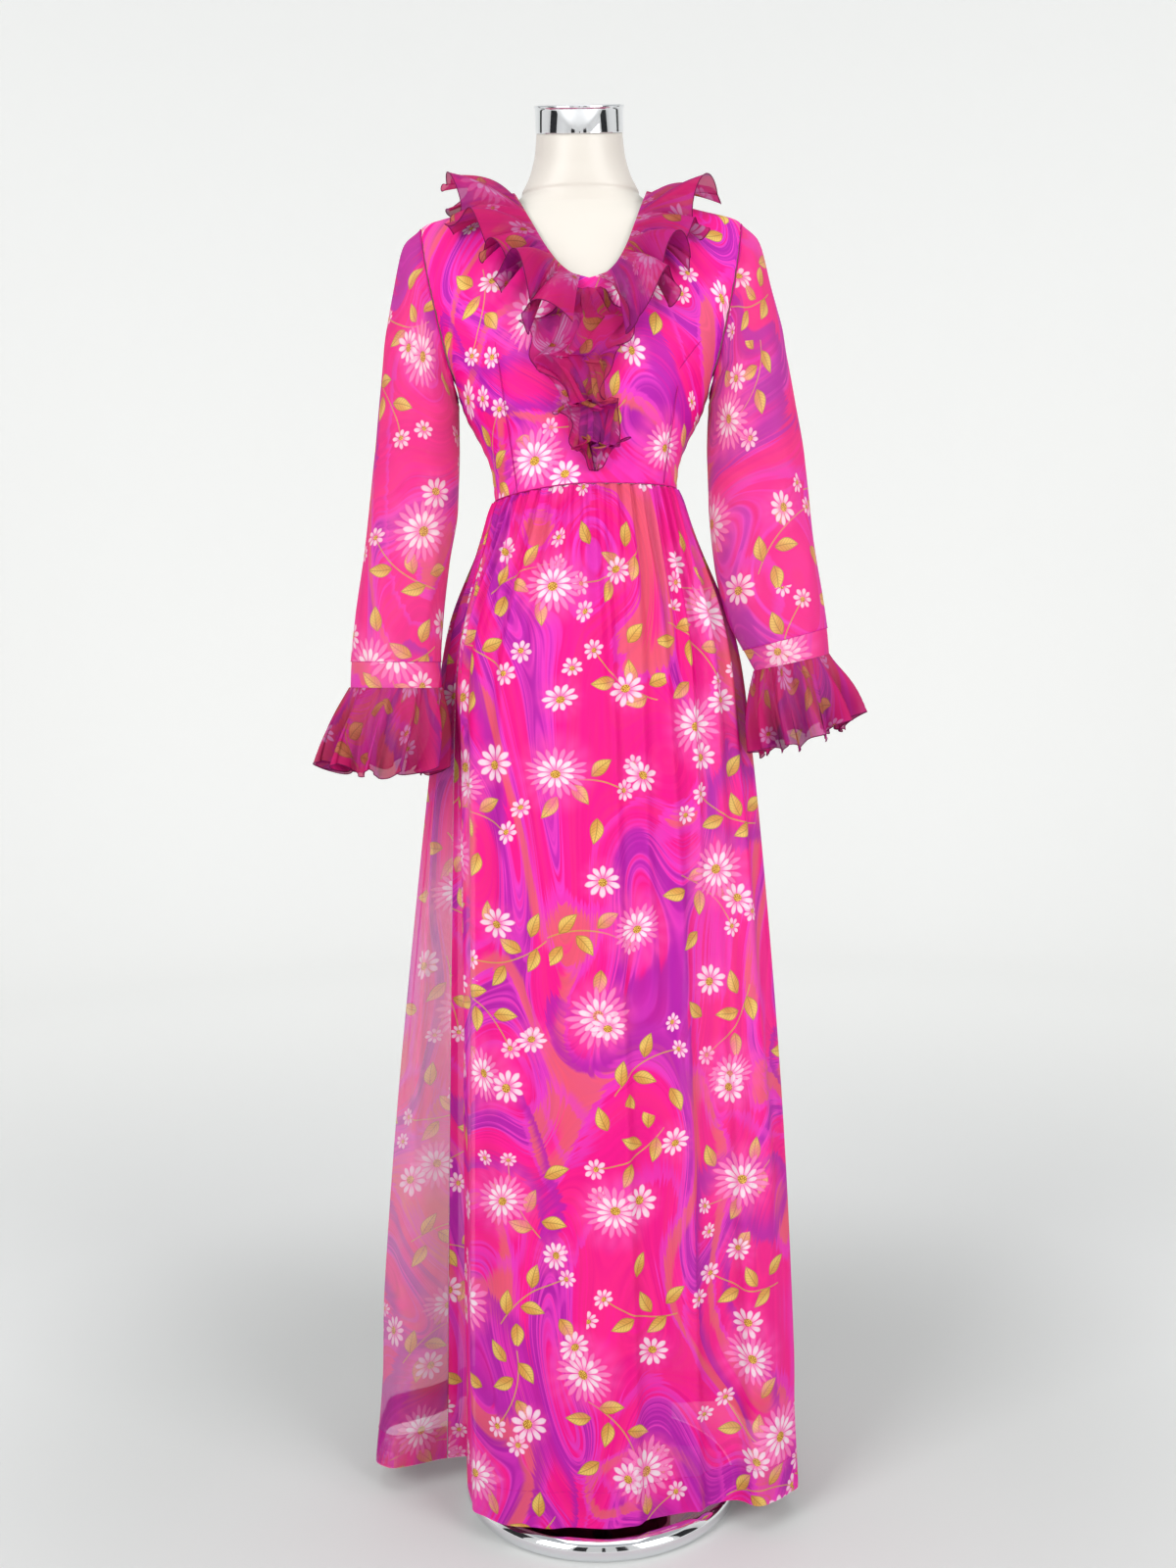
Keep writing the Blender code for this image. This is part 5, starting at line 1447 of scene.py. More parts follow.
# %% Sleeve creases
# x runs round the arm from its outer line, to the front above zero; z runs down from the armhole.
SLEEVE_CREASES = {
    "left": [
        Crease(0.012, 0.010, 0.026, 0.180, 0.0090, 0.0022, 0.004),
        Crease(0.052, 0.020, 0.060, 0.150, 0.0070, -0.0022, -0.004),
        Crease(0.118, 0.020, 0.070, 0.125, 0.0060, -0.0030, 0.006),
        Crease(0.140, 0.040, 0.090, 0.200, 0.0070, 0.0026, 0.006),
        Crease(0.100, 0.150, 0.052, 0.240, 0.0080, -0.0024, -0.005),
        Crease(0.128, 0.235, 0.040, 0.262, 0.0070, -0.0030, 0.006),
        Crease(0.132, 0.262, 0.058, 0.312, 0.0060, -0.0024, 0.004),
        Crease(0.020, 0.200, 0.034, 0.440, 0.0110, 0.0026, 0.006),
        Crease(0.078, 0.300, 0.070, 0.470, 0.0090, -0.0026, -0.004),
        Crease(0.112, 0.330, 0.108, 0.480, 0.0080, 0.0024, 0.003),
        Crease(-0.040, 0.020, -0.052, 0.210, 0.0090, 0.0024, 0.004),
        Crease(-0.100, 0.030, -0.060, 0.140, 0.0070, -0.0028, -0.005),
        Crease(-0.110, 0.220, -0.040, 0.270, 0.0080, -0.0032, 0.006),
        Crease(-0.060, 0.280, -0.066, 0.470, 0.0100, 0.0028, 0.003),
    ],
    "right": [
        Crease(0.020, 0.012, 0.014, 0.160, 0.0090, 0.0022, -0.004),
        Crease(0.056, 0.016, 0.048, 0.190, 0.0080, -0.0024, 0.005),
        Crease(0.120, 0.022, 0.066, 0.150, 0.0070, -0.0030, -0.006),
        Crease(0.138, 0.060, 0.084, 0.260, 0.0080, 0.0028, -0.007),
        Crease(0.084, 0.190, 0.044, 0.300, 0.0080, -0.0022, 0.006),
        Crease(0.130, 0.255, 0.046, 0.300, 0.0070, -0.0030, -0.006),
        Crease(0.128, 0.300, 0.074, 0.352, 0.0060, -0.0022, 0.004),
        Crease(0.016, 0.230, 0.040, 0.450, 0.0110, 0.0028, -0.005),
        Crease(0.096, 0.340, 0.080, 0.480, 0.0080, -0.0024, 0.004),
        Crease(-0.038, 0.030, -0.048, 0.230, 0.0090, 0.0024, -0.004),
        Crease(-0.104, 0.040, -0.058, 0.160, 0.0070, -0.0028, 0.005),
        Crease(-0.108, 0.240, -0.044, 0.300, 0.0080, -0.0030, -0.006),
        Crease(-0.070, 0.290, -0.062, 0.480, 0.0100, 0.0026, 0.003),
    ],
}


def sleeve_grid(side, start, end, columns, rows):
    """Points, angles and alongs; columns turn the outside out, rows run from end to start."""
    hand = 1 if side == "right" else -1
    angle = np.linspace(0.0, 2 * math.pi, columns + 1)[None, :] * -hand + math.pi
    along = np.linspace(end, start, rows + 1)[:, None] + angle * 0.0
    angle = angle + along * 0.0
    points = sleeve_points(side, along, angle)
    points[..., 0] *= hand
    return points, angle, along


def sleeve_relief(side, angle, along):
    wrapped = (angle + math.pi) % (2 * math.pi) - math.pi
    x, z = wrapped / (2 * math.pi) * SLEEVE_GIRTH, along * SLEEVE_DOWN
    relief = creased(x, z, SLEEVE_CREASES[side])
    cap_ease = np.cos(angle * 16 + bumpy(angle * 3, 0.0, 4.0) * 2) * np.exp(-z / 0.012) * 0.0007
    wrist_ease = (
        np.cos(angle * 19) * np.exp(-np.abs(BAND_AT - along) * SLEEVE_DOWN / 0.010) * 0.0006
    )
    drape = 0.0013 * bumpy(np.sin(angle) * 2.4 + 1.0, along * 9.0 + np.cos(angle), 5.0)
    calm = soft(along, 0.0, 0.06)
    return relief * calm + cap_ease + wrist_ease + drape * calm


sleeves, bands, cuffs = {}, {}, {}
sleeve_ends = {}
for number, side_name in enumerate(("left", "right")):
    points, angle, along = sleeve_grid(side_name, 0.0, BAND_AT - BAND_GAP * 0.1, 144, 180)
    lift = CLOTH_LIFT + sleeve_relief(side_name, angle, along)
    points = points + normals_of(points) * np.maximum(lift, -0.004)[..., None]
    points[:, -1] = points[:, 0]
    sleeves[side_name] = cloth_sheet(
        f"sleeve_{side_name}_cloth", points, sleeve_chiffon, (0.9 + number * 0.71, 0.4), True
    )
    sleeve_ends[side_name] = points
    points, angle, along = sleeve_grid(side_name, BAND_AT + BAND_GAP * 0.1, 1.0, 144, 14)
    lift = CLOTH_LIFT + 0.0006 * bumpy(np.sin(angle) * 3, along * 30, 6.0)
    points = points + normals_of(points) * lift[..., None]
    points[:, -1] = points[:, 0]
    bands[side_name] = cloth_sheet(
        f"wrist_band_{side_name}_cloth", points, sleeve_chiffon, (0.2 + number * 0.5, 1.7), True
    )
print("sleeve area, m2:", round(area_of(sleeves["left"]), 4))

# %% Cuff frills
def cuff_points(side, columns=480, rows=34):
    hand = 1 if side == "right" else -1
    seam, end = SLEEVE[side][-1], CUFF_END[side]
    down = np.linspace(1.0, 0.0, rows + 1)[:, None]
    angle = np.linspace(0.0, 2 * math.pi, columns + 1)[None, :] * -hand + math.pi
    down, angle = np.broadcast_arrays(down, angle)
    at = {
        name: getattr(seam, name) + (getattr(end, name) - getattr(seam, name)) * down
        for name in Section._fields[1:]
    }
    points = section_points(at, angle)
    outward = unit(
        points - (section_points(at, angle * 0.0) + section_points(at, angle * 0.0 + math.pi)) / 2
    )
    uneven = 0.55 * np.sin(angle * 2 + hand) + 0.35 * np.sin(angle * 5 + 2 * hand)
    phase = CUFF_WAVES * angle + 1.4 * down + uneven
    deep = 0.0014 + 0.0105 * down**1.1 * (1 + 0.30 * np.sin(angle * 3 + 0.7))
    wave = np.cos(phase + 0.7) * deep + np.cos(phase * 2.0 + 0.8) * 0.0030 * down
    wave = wave + np.cos(37 * angle) * 0.0007 * (1 - down) ** 2
    points = points + outward * (wave + 0.006 * np.sin(math.pi * down) + CLOTH_LIFT)[..., None]
    sideways = unit(np.gradient(points, axis=1))
    swing = np.sin(phase) * 0.0088 + np.sin(phase * 2.0 + 1.3) * 0.0026
    points = points + sideways * (swing * down**1.2 * -1.0)[..., None]
    points[..., 2] -= 0.0001 - 0.003 * down * np.sin(3 * angle) - 0.0062 * down**1.2 * np.cos(phase)
    points[..., 0] *= hand
    points[:, -1] = points[:, 0]
    return points


cuff_edges = {}
for number, side_name in enumerate(("left", "right")):
    points = cuff_points(side_name)
    cuffs[side_name] = cloth_sheet(
        f"cuff_frill_{side_name}_cloth", points, frill_chiffon, (0.3 + number * 0.8, 0.9), True, 10
    )
    cuff_edges[side_name] = points
print("cuff frill area, m2:", round(area_of(cuffs["left"]), 4))

# %% [markdown]
# ## Skirt
#
# The skirt's width at the waist is drawn up on gathering threads, and falls from there in folds
# that merge two by two on the way down. The table of folds gives the plan at hip and hem. The fine
# gathers under the seam are waves whose spacing wanders, and the long folds are ridges of their
# own.


# %% Skirt surface
def plan_curve(column):
    values = [getattr(row, column) for row in FOLDS]
    shares = [row.share for row in FOLDS]
    return curve_through(
        [s - 1 for s in shares[-4:]] + shares + [s + 1 for s in shares[:4]],
        values[-4:] + values + values[:4], True,
    )


PLAN = {name: plan_curve(name) for name in Fold._fields[1:]}


def lerp(first, second, share):
    return first + (second - first) * share[..., None]


def skirt_base(share, drop):
    """The skirt's plan and height without its gathers."""
    room = 0.0014 + GATHER_DEPTH
    sizes = [BODY[name](WAIST_Z) + room for name in ("half_width", "front", "back")]
    top_x, top_y = outline_xy(2 * math.pi * share, *sizes, BODY["power"](WAIST_Z))
    top_z = waist_z(top_x) - SKIRT_DROP
    height = top_z - (top_z - HEM_Z) * drop / SKIRT_LENGTH
    top = at_points(top_x, top_y, 0.0)
    hip = at_points(PLAN["hip_x"](share % 1), PLAN["hip_y"](share % 1), 0.0)
    hem = at_points(PLAN["hem_x"](share % 1), PLAN["hem_y"](share % 1), 0.0)
    reach = np.clip((top_z - height) / (top_z - HIP_Z), 0.0, 1.0)
    high = lerp(top, hip, reach**1.25 * (1 - reach) + (1 - (1 - reach) ** 1.8) * reach)
    reach = np.clip((HIP_Z - height) / (HIP_Z - HEM_Z), 0.0, 1.0)
    low = lerp(hip, hem, reach**0.85)
    low = low + unit(low) * (PLAN["bow"](share % 1) * np.sin(math.pi * reach))[..., None]
    return np.where((height > HIP_Z)[..., None], high, low), height


Ridge = namedtuple("Ridge", "share top bottom width height drift")
# Long folds of the skirt: where each lies at the waist, the drops it runs between, its half width
# and height in metres, and how far its share drifts on the way down.
LONG_FOLDS = [
    Ridge(0.022, 0.02, 1.15, 0.011, 0.0042, 0.004), Ridge(0.060, 0.01, 0.62, 0.009, 0.0040, 0.006),
    Ridge(0.098, 0.02, 1.16, 0.012, 0.0046, 0.004), Ridge(0.134, 0.01, 0.50, 0.008, 0.0040, 0.003),
    Ridge(0.172, 0.03, 1.16, 0.012, 0.0052, 0.008), Ridge(0.207, 0.02, 0.90, 0.010, 0.0048, 0.002),
    Ridge(0.238, 0.04, 1.16, 0.012, 0.0052, -0.004), Ridge(0.286, 0.02, 1.16, 0.013, 0.0060, 0.004),
    Ridge(0.325, 0.01, 0.80, 0.011, 0.0050, -0.004), Ridge(0.366, 0.05, 1.16, 0.013, 0.0060, 0.005),
    Ridge(0.402, 0.01, 0.95, 0.011, 0.0056, 0.002), Ridge(0.438, 0.02, 1.16, 0.012, 0.0062, -0.003),
    Ridge(0.474, 0.02, 0.70, 0.010, 0.0048, 0.002), Ridge(0.530, 0.02, 1.16, 0.012, 0.0058, 0.003),
    Ridge(0.566, 0.02, 0.76, 0.010, 0.0050, -0.003), Ridge(0.604, 0.04, 1.16, 0.013, 0.0062, 0.004),
    Ridge(0.645, 0.01, 0.92, 0.011, 0.0054, 0.003), Ridge(0.690, 0.03, 1.16, 0.013, 0.0060, -0.004),
    Ridge(0.728, 0.02, 1.10, 0.011, 0.0050, 0.004), Ridge(0.764, 0.02, 0.84, 0.010, 0.0046, 0.002),
    Ridge(0.835, 0.03, 1.16, 0.010, 0.0040, 0.004), Ridge(0.868, 0.01, 0.74, 0.009, 0.0036, 0.002),
    Ridge(0.899, 0.02, 1.16, 0.011, 0.0044, -0.003), Ridge(0.931, 0.02, 0.56, 0.009, 0.0038, 0.002),
    Ridge(0.962, 0.03, 1.16, 0.011, 0.0042, -0.002), Ridge(0.991, 0.01, 0.44, 0.008, 0.0036, 0.002),
]


def long_folds(share, drop):
    """The long ridges, wider as the skirt widens, with shallow troughs on both sides."""
    total = np.zeros(np.broadcast(share, drop).shape)
    girth = 0.62 + 0.75 * soft(drop, 0.0, 0.5)
    for row in LONG_FOLDS:
        at = (
            row.share + row.drift * drop / SKIRT_LENGTH + 0.0016 * np.sin(drop * 7 + row.share * 40)
        )
        off = (
            ((share - at + 0.5) % 1.0 - 0.5) * girth
            / (row.width * (0.55 + 0.65 * soft(drop, 0.0, 0.45)))
        )
        fade = (
            soft(drop, row.top, row.top + 0.12)
            * (1 - soft(drop, row.bottom - 0.16, row.bottom + 0.02))
        )
        fade = fade + 0.85 * soft(drop, SKIRT_LENGTH - 0.12, SKIRT_LENGTH) * (row.bottom > 1.0)
        total += (
            1.35 * row.height * np.minimum(fade, 1.0) * np.exp(-(off**2)) * (1.0 - 0.22 * off**2)
        )
    return total


def gather_lift(share, drop):
    """Gathers at the seam: waves whose spacing wanders, dying out as the folds take over."""
    wander = (
        0.35 * np.sin(share * 2 * math.pi * 3 + 1.0) + 0.22 * np.sin(share * 2 * math.pi * 7 + 0.4)
    )
    first = np.cos(2 * math.pi * GATHERS * share + wander)
    second = np.cos(2 * math.pi * (GATHERS * 2 + 9) * share + 3 * wander + drop * 9)
    swell = GATHER_DEPTH * (1 + drop / 0.05) * np.exp(-((drop / 0.11) ** 1.3))
    reach = 0.55 + 0.45 * np.sin(share * 2 * math.pi * 11 + 2.0)
    fine = 0.0010 * np.exp(-drop / (0.030 + 0.05 * reach))
    return first * swell + second * fine


def smooth_rows(points, width):
    """Each column averaged over a few rows, which takes out the crease at hip height."""
    pad = np.concatenate(
        [np.repeat(points[:1], width, 0), points, np.repeat(points[-1:], width, 0)]
    )
    total = np.cumsum(np.concatenate([pad[:1] * 0.0, pad]), axis=0)
    span = 2 * width + 1
    mean = (total[span:] - total[:-span]) / span
    ends = soft(np.minimum(np.arange(len(points)), np.arange(len(points))[::-1]) / width, 0.0, 1.0)
    return lerp(points, mean, np.broadcast_to(ends[:, None], points.shape[:2]))


CENTRE_BACK = 0.5  # its share of the girth
SEAM_GAP = 0.0004  # each panel stops this share of the girth, or this many metres, short of a seam
ZIP_ROOM, SEAM_ROOM = 0.0041, 0.0006  # half the width between the panels, beside the zip and below
ZIP_END, SEAM_START = 0.160, 0.172  # the drops between which the gap closes
HEM_TURN, HEM_BEHIND = 0.042, 0.0011  # the hem's height, and how far behind the skirt it lies
WAIST_STEP = 0.0036  # the solid stands this far off the bodice's line; the sheet is drawn in to it


def back_gap(drop):
    """Half the gap at centre back as a share of the girth: the zip's width, then a plain seam."""
    half = ZIP_ROOM + (SEAM_ROOM - ZIP_ROOM) * soft(drop, ZIP_END, SEAM_START)
    beside = [skirt_base(drop * 0.0 + share, drop)[0] for share in (0.495, 0.505)]
    return half / (np.linalg.norm(beside[1] - beside[0], axis=-1) / 0.010)


def skirt_points(first, last, columns, rows=190, low=0.0, high=SKIRT_LENGTH, inward=0.0):
    """Columns between two shares of the girth, rows from the drop high up to the drop low."""
    share = np.linspace(first, last, columns + 1)[None, :]
    deep = np.linspace(1.0, 0.0, rows + 1)[:, None]
    drop = low + (high - low) * deep**1.35
    share, drop = np.broadcast_arrays(share, drop)
    if first == CENTRE_BACK:
        share = share + back_gap(drop) * (last - share) / (last - first)
    elif last == CENTRE_BACK:
        share = share - back_gap(drop) * (share - first) / (last - first)
    plan, height = skirt_base(share, drop)
    if low == 0.0:
        plan = smooth_rows(plan, 9)
    run_x, run_y = (np.gradient(plan[..., axis], axis=1) for axis in (0, 1))
    away = unit(np.stack([run_y, -run_x, run_x * 0.0], axis=2))
    sway = 0.0016 * bumpy(share * 34, drop * 6.5, 7.0) * soft(drop, 0.08, 0.3)
    lift = (
        CLOTH_LIFT + gather_lift(share, drop) + long_folds(share, drop)
        - 0.0012 * soft(drop, 0.1, 0.3) + sway
    )
    seam_gap = np.minimum(share - first, last - share) * 0.9
    pinch = 1.0 - 0.5 * np.exp(-seam_gap / 0.006)
    drawn_in = WAIST_STEP * np.exp(-drop / 0.010)
    plan = plan + away * (lift * pinch - inward - drawn_in)[..., None]
    plan[..., 2] = (
        height + 0.0022 * np.sin(share * 2 * math.pi * 5 + 1.2) * soft(drop, 0.6, 1.15)
        * (drop / SKIRT_LENGTH)
    )
    return plan


SKIRT_PANELS = {
    "skirt_front": (
        LEFT_SEAM_SHARE - 1 + SEAM_GAP, RIGHT_SEAM_SHARE - SEAM_GAP, 400, (0.0, 0.0), skirt_chiffon
    ),
    "skirt_back_right": (
        RIGHT_SEAM_SHARE + SEAM_GAP, CENTRE_BACK, 220, (2.3, 0.2), skirt_chiffon
    ),
    "skirt_back_left": (CENTRE_BACK, LEFT_SEAM_SHARE - SEAM_GAP, 260, (4.1, 0.5), sheer_chiffon),
}
skirts, hems = {}, {}
for name, (first, last, columns, shift, finish) in SKIRT_PANELS.items():
    skirts[name] = cloth_sheet(name + "_cloth", skirt_points(first, last, columns), finish, shift)
    turned_up = skirt_points(
        first, last, columns, 12, SKIRT_LENGTH - HEM_TURN, SKIRT_LENGTH - SEAM_GAP, HEM_BEHIND
    )
    hems[name] = cloth_sheet(
        name + "_hem", turned_up, hem_chiffon, (shift[0] + 0.37, shift[1] + 0.61)
    )
    print(name, "area, m2:", round(area_of(skirts[name]), 4))

# %% Seam allowances that show through
ALLOWANCE, ALLOWANCE_BEHIND = 0.011, 0.0014
SKIRT_GIRTH = 1.25  # roughly, to turn metres into shares of the girth


def allowance(name, share, top, toward):
    """The allowance beside a seam, pressed to one side: a narrow double strip inside the skirt."""
    width = toward * ALLOWANCE / SKIRT_GIRTH
    edges = sorted((share, share + width))
    strip = skirt_points(*edges, 6, 150, top, SKIRT_LENGTH - 0.003, ALLOWANCE_BEHIND)
    return cloth_sheet(name, strip, shaded_allowance_chiffon, (share * 3, 0.9))


allowances = [
    allowance("left_seam_allowance", LEFT_SEAM_SHARE, 0.02, 1),
    allowance("right_seam_allowance", RIGHT_SEAM_SHARE, 0.02, -1),
    allowance("back_seam_allowance", CENTRE_BACK, 0.20, 1),
]

# %% [markdown]
# ## Lining
#
# The lining is a plain narrow tube of hot pink, shorter and much straighter than the skirt. Its
# soft vertical folds show only faintly through the print. It is drawn a hair inside its solid.

# %% Lining sheets
LINING_AT = curves_of(LINING[::-1] + [LINING_TOP], "z")


def lining_points(first, last, columns=96, rows=130):
    angle = np.linspace(first, last, columns + 1)[None, :]
    z = np.linspace(LINING[-1].z, LINING_TOP.z, rows + 1)[:, None]
    angle, z = np.broadcast_arrays(angle, z)
    at = {name: curve(z) for name, curve in LINING_AT.items()}
    x, y = outline_xy(angle, at["half_width"], at["half_depth"], at["half_depth"], 2.05)
    points = at_points(x + at["centre_x"], y + at["centre_y"], z)
    slack = soft(1.18 - z, 0.05, 0.35)
    ripple = 0.0016 * np.cos(angle * 15 + bumpy(angle * 2, z * 3, 8.0) * 2) * slack
    return points + unit(at_points(x, y, 0.0)) * (ripple - 0.0010 * slack + 0.0004)[..., None]


SIDE, SIDE_GAP = math.pi / 2, 0.003  # the angle of a side seam, and half its gap
linings = {
    "lining_front": cloth_sheet(
        "lining_front_cloth", lining_points(-SIDE + SIDE_GAP, SIDE - SIDE_GAP), lining_satin
    ),
    "lining_back": cloth_sheet(
        "lining_back_cloth", lining_points(SIDE + SIDE_GAP, 3 * SIDE - SIDE_GAP), lining_satin
    ),
}
print("lining area, m2:", round(sum(area_of(piece) for piece in linings.values()), 4))

# %% [markdown]
# ## Neck frill and jabot
#
# The frill is a long strip gathered onto the neck edge. Its free edge has far more length than its
# seam, so it swings to and fro, and in the deepest waves it folds back over itself like a rose.
# Here the waves swing off the cloth, and a second, quicker swing along the edge makes them
# overlap. At the shoulders it stands up; at the front it lies over the top of the jabot.


# %% Frill surface
def neck_seam(share, hand):
    down = np.clip((share - BACK_SHARE) / (1 - BACK_SHARE), 0.0, 1.0)
    back_x = ZIP_CLEAR_X + (NECK_X - ZIP_CLEAR_X) * np.minimum(share / BACK_SHARE, 1.0)
    front_z = NECK_Z + (NECK_V_Z + 0.003 - NECK_Z) * down**1.15
    at_back = share < BACK_SHARE
    x = np.where(at_back, back_x * hand, neckline_x(front_z, hand))
    z = np.where(at_back, back_neck_z(back_x), front_z) - 0.001
    x = np.clip(x, -NECK_X + 0.001, NECK_X - 0.001)
    back = at_points(x, body_y(x, z, 1), z) + body_out(x, z, 1) * 0.0023
    front = at_points(x, body_y(x, z, -1), z) + body_out(x, z, -1) * 0.0023
    seam = np.where(at_back[..., None], back, front)
    seam[..., 2] += 0.0028 * np.clip((z - 1.515) / (NECK_Z - 1.515), 0.0, 1.0)
    return seam


def clear_of_bodice(points, margin):
    """Each point, or the nearest one straight before or behind it that stands off the bodice."""
    z = points[..., 2] - margin
    level = np.minimum(z, NECK_Z)
    half_width = BODY["half_width"](level) + margin
    front = points[..., 1] < 0
    depth = np.where(front, BODY["front"](level), BODY["back"](level)) + margin
    limit = outline_depth(points[..., 0], half_width, depth, BODY["power"](level))
    inside = (z <= NECK_Z) & (np.abs(points[..., 0]) < half_width) & (
        np.abs(points[..., 1]) < limit
    )
    points[..., 1] = np.where(inside, np.where(front, -limit, limit), points[..., 1])
    return points


def neck_frill_points(side, columns=560, rows=46):
    hand = 1 if side == "right" else -1
    table = NECK_FRILL[side]
    edge = curves_of(table, "share", True)
    share = np.linspace(0.0, 1.0, columns + 1)[:: -hand][None, :]
    reach = np.linspace(1.0, 0.0, rows + 1)[:, None]
    share, reach = np.broadcast_arrays(share, reach)

    def rim_at(where):
        where = np.clip(where, 0.0, 1.0)
        return at_points(hand * edge["x"](where), edge["y"](where), edge["z"](where))

    seam, rim = neck_seam(share, hand), rim_at(share)
    run = unit(rim_at(share + 0.01) - rim_at(share - 0.01))
    off = unit(np.cross(run, rim - seam)) * hand
    wander = 0.9 * np.sin(share * 17 + hand) + 0.6 * np.sin(share * 29 + 2 * hand)
    phase = 2 * math.pi * NECK_FRILL_WAVES * share + wander
    curl = reach**1.2 * (1 + 0.30 * np.sin(share * 23 + 1.0 + hand))
    aside = curl * (
        0.0165 * np.sin(phase) + 0.0040 * np.sin(2 * phase + 1.3)
        + 0.0038 * np.sin(3 * phase + 0.5)
    )
    stand = (
        0.0070 + 0.0145 * np.cos(phase + 0.7) + 0.0050 * np.cos(2 * phase + 1.1)
        + 0.0040 * np.cos(3 * phase + 2)
    )
    gathers = 0.0011 * (1 - reach) * reach * 4 * np.cos(phase * 4)
    lift = 0.011 * np.sin(math.pi * reach) + curl * stand + gathers + CLOTH_LIFT / 2
    fall = (
        curl * (-0.0100 * np.cos(phase) + 0.0035 * np.cos(phase * 2.5 + 0.6 * hand))
        - 0.0020 * reach
    )
    points = lerp(seam, rim, reach) + off * lift[..., None] + run * aside[..., None]
    points = points + unit(rim - seam) * fall[..., None]
    room = 0.0022 + 0.011 * np.clip((1.425 - points[..., 2]) / 0.03, 0.0, 1.0) * (reach > 0.05)
    return np.where((reach > 0)[..., None], clear_of_bodice(points, room), points)


neck_frills, neck_edges = {}, {}
for number, side_name in enumerate(("left", "right")):
    points = neck_frill_points(side_name)
    neck_frills[side_name] = cloth_sheet(
        f"neck_frill_{side_name}_cloth", points, frill_chiffon, (1.9 + number, 0.3), False, 16
    )
    neck_edges[side_name] = points
print("neck frill area, m2:", round(area_of(neck_frills["left"]), 4))


# %% Jabot
def jabot_points(columns=150, rows=130):
    at = curves_of(JABOT[::-1], "z")
    u = np.linspace(0.0, 1.0, columns + 1)[None, :]
    v = np.linspace(0.0, 1.0, rows + 1)[:, None]
    u, v = np.broadcast_arrays(u, v)
    z = JABOT[-1].z + (JABOT[0].z - JABOT[-1].z) * v
    left, width = at["left_x"](z), at["right_x"](z) - at["left_x"](z)
    tier = (
        2 * math.pi * (4.2 * (1 - v) + 0.55 * u) + 1.3 * np.sin(5.0 * u + 0.6)
        + 0.5 * np.sin(v * 11)
    )
    flute = 2 * math.pi * 2.6 * u + 2.2 * np.sin(v * 13 + 0.5)
    free = (1 - v) ** 0.3
    room = np.minimum(1.0, width / 0.05)
    x = (
        left + width * u
        + (0.0065 * np.sin(tier + 0.9) * (2 * u - 1) - 0.0060 * np.sin(2 * flute)) * room * free
    )
    wave = 0.0085 * np.cos(tier) + 0.0050 * room * np.cos(flute) + 0.0015 * np.sin(v * 46 + u * 7)
    stand = 0.0070 + at["lift"](z) + wave * free
    points = at_points(x, body_y(x, z, -1) - np.maximum(stand, 0.0026), z)
    points[..., 2] += (
        (0.0105 * np.sin(tier) + 0.0040 * np.sin(flute + 5 * v)) * free * soft(v, 0.0, 0.06)
    )
    return points


jabot_sheet_points = jabot_points()
jabot = cloth_sheet("jabot_cloth", jabot_sheet_points, frill_chiffon, (3.3, 1.1))
print("jabot area, m2:", round(area_of(jabot), 4))

# %% [markdown]
# ## Rolled edges and seam lines
#
# A chiffon frill is finished with a narrow rolled edge, which reads as a dark line. Seams read as
# dark lines too. All of them are thin cords laid along the sheets' own edges.

# %% Rolled edges
ROLL, CORD_SIDES = 0.00055, 5
rolled_edges = []
for side_name in ("left", "right"):
    ring = neck_edges[side_name][0]
    rolled_edges.append(
        cord_along(f"neck_frill_{side_name}_edge", ring, ROLL, rolled_thread, CORD_SIDES)
    )
    ring = cuff_edges[side_name][0]
    rolled_edges.append(
        cord_along(f"cuff_frill_{side_name}_edge", ring, ROLL, rolled_thread, CORD_SIDES)
    )
left_edge, right_edge = jabot_sheet_points[::-1, 0], jabot_sheet_points[:, -1]
jabot_line = np.concatenate([left_edge, jabot_sheet_points[0, 1:], right_edge[1:]])
rolled_edges.append(cord_along("jabot_edge", jabot_line, ROLL, rolled_thread, CORD_SIDES))


# %% Seam lines
def on_bodice(xs, zs, side, lift=0.0010):
    xs, zs = np.asarray(xs, float), np.asarray(zs, float)
    return at_points(xs, body_y(xs, zs, side), zs) + body_out(xs, zs, side) * lift


def line_of(x0, z0, x1, z1, side, count=40, bow=0.0):
    t = np.linspace(0.0, 1.0, count)
    return on_bodice(x0 + (x1 - x0) * t + bow * 4 * t * (1 - t), z0 + (z1 - z0) * t, side, 0.0006)


def seam_cord(path, radius):
    rings = cord_points(path, radius, CORD_SIDES)
    return rings, grid_faces(len(rings), CORD_SIDES, True)[:, ::-1]


waist_angle = np.linspace(0.06, 2 * math.pi - 0.06, 260) + math.pi
waist_x, waist_y = outline_xy(
    waist_angle, *(BODY[n](WAIST_Z) + 0.0012 for n in ("half_width", "front", "back")), 2.1
)
seams = [
    seam_cord(line_of(-0.0755, 1.1905, -0.0950, 1.3510, -1), 0.0005),
    seam_cord(line_of(0.0880, 1.2025, 0.1030, 1.3040, -1), 0.0005),
    seam_cord(line_of(0.1040, 1.3200, 0.1300, 1.3540, -1), 0.0004),
    seam_cord(line_of(0.0600, 1.2000, 0.0700, 1.3300, 1), 0.0004),
    seam_cord(line_of(-0.0600, 1.1960, -0.0700, 1.3300, 1), 0.0004),
    seam_cord(at_points(waist_x, waist_y, waist_z(waist_x) - 0.0004), 0.0006),
]
for side_name, hand in (("left", -1), ("right", 1)):
    hole = armhole_points(np.linspace(0.0, 2 * math.pi, 181))
    seams.append(seam_cord(hole * np.array([hand, 1, 1]) + np.array([hand * 0.0002, 0, 0]), 0.0011))
    seams.append(seam_cord(sleeve_ends[side_name][0], 0.0004))
seam_lines = joined("seam_lines", seams, seam_thread)

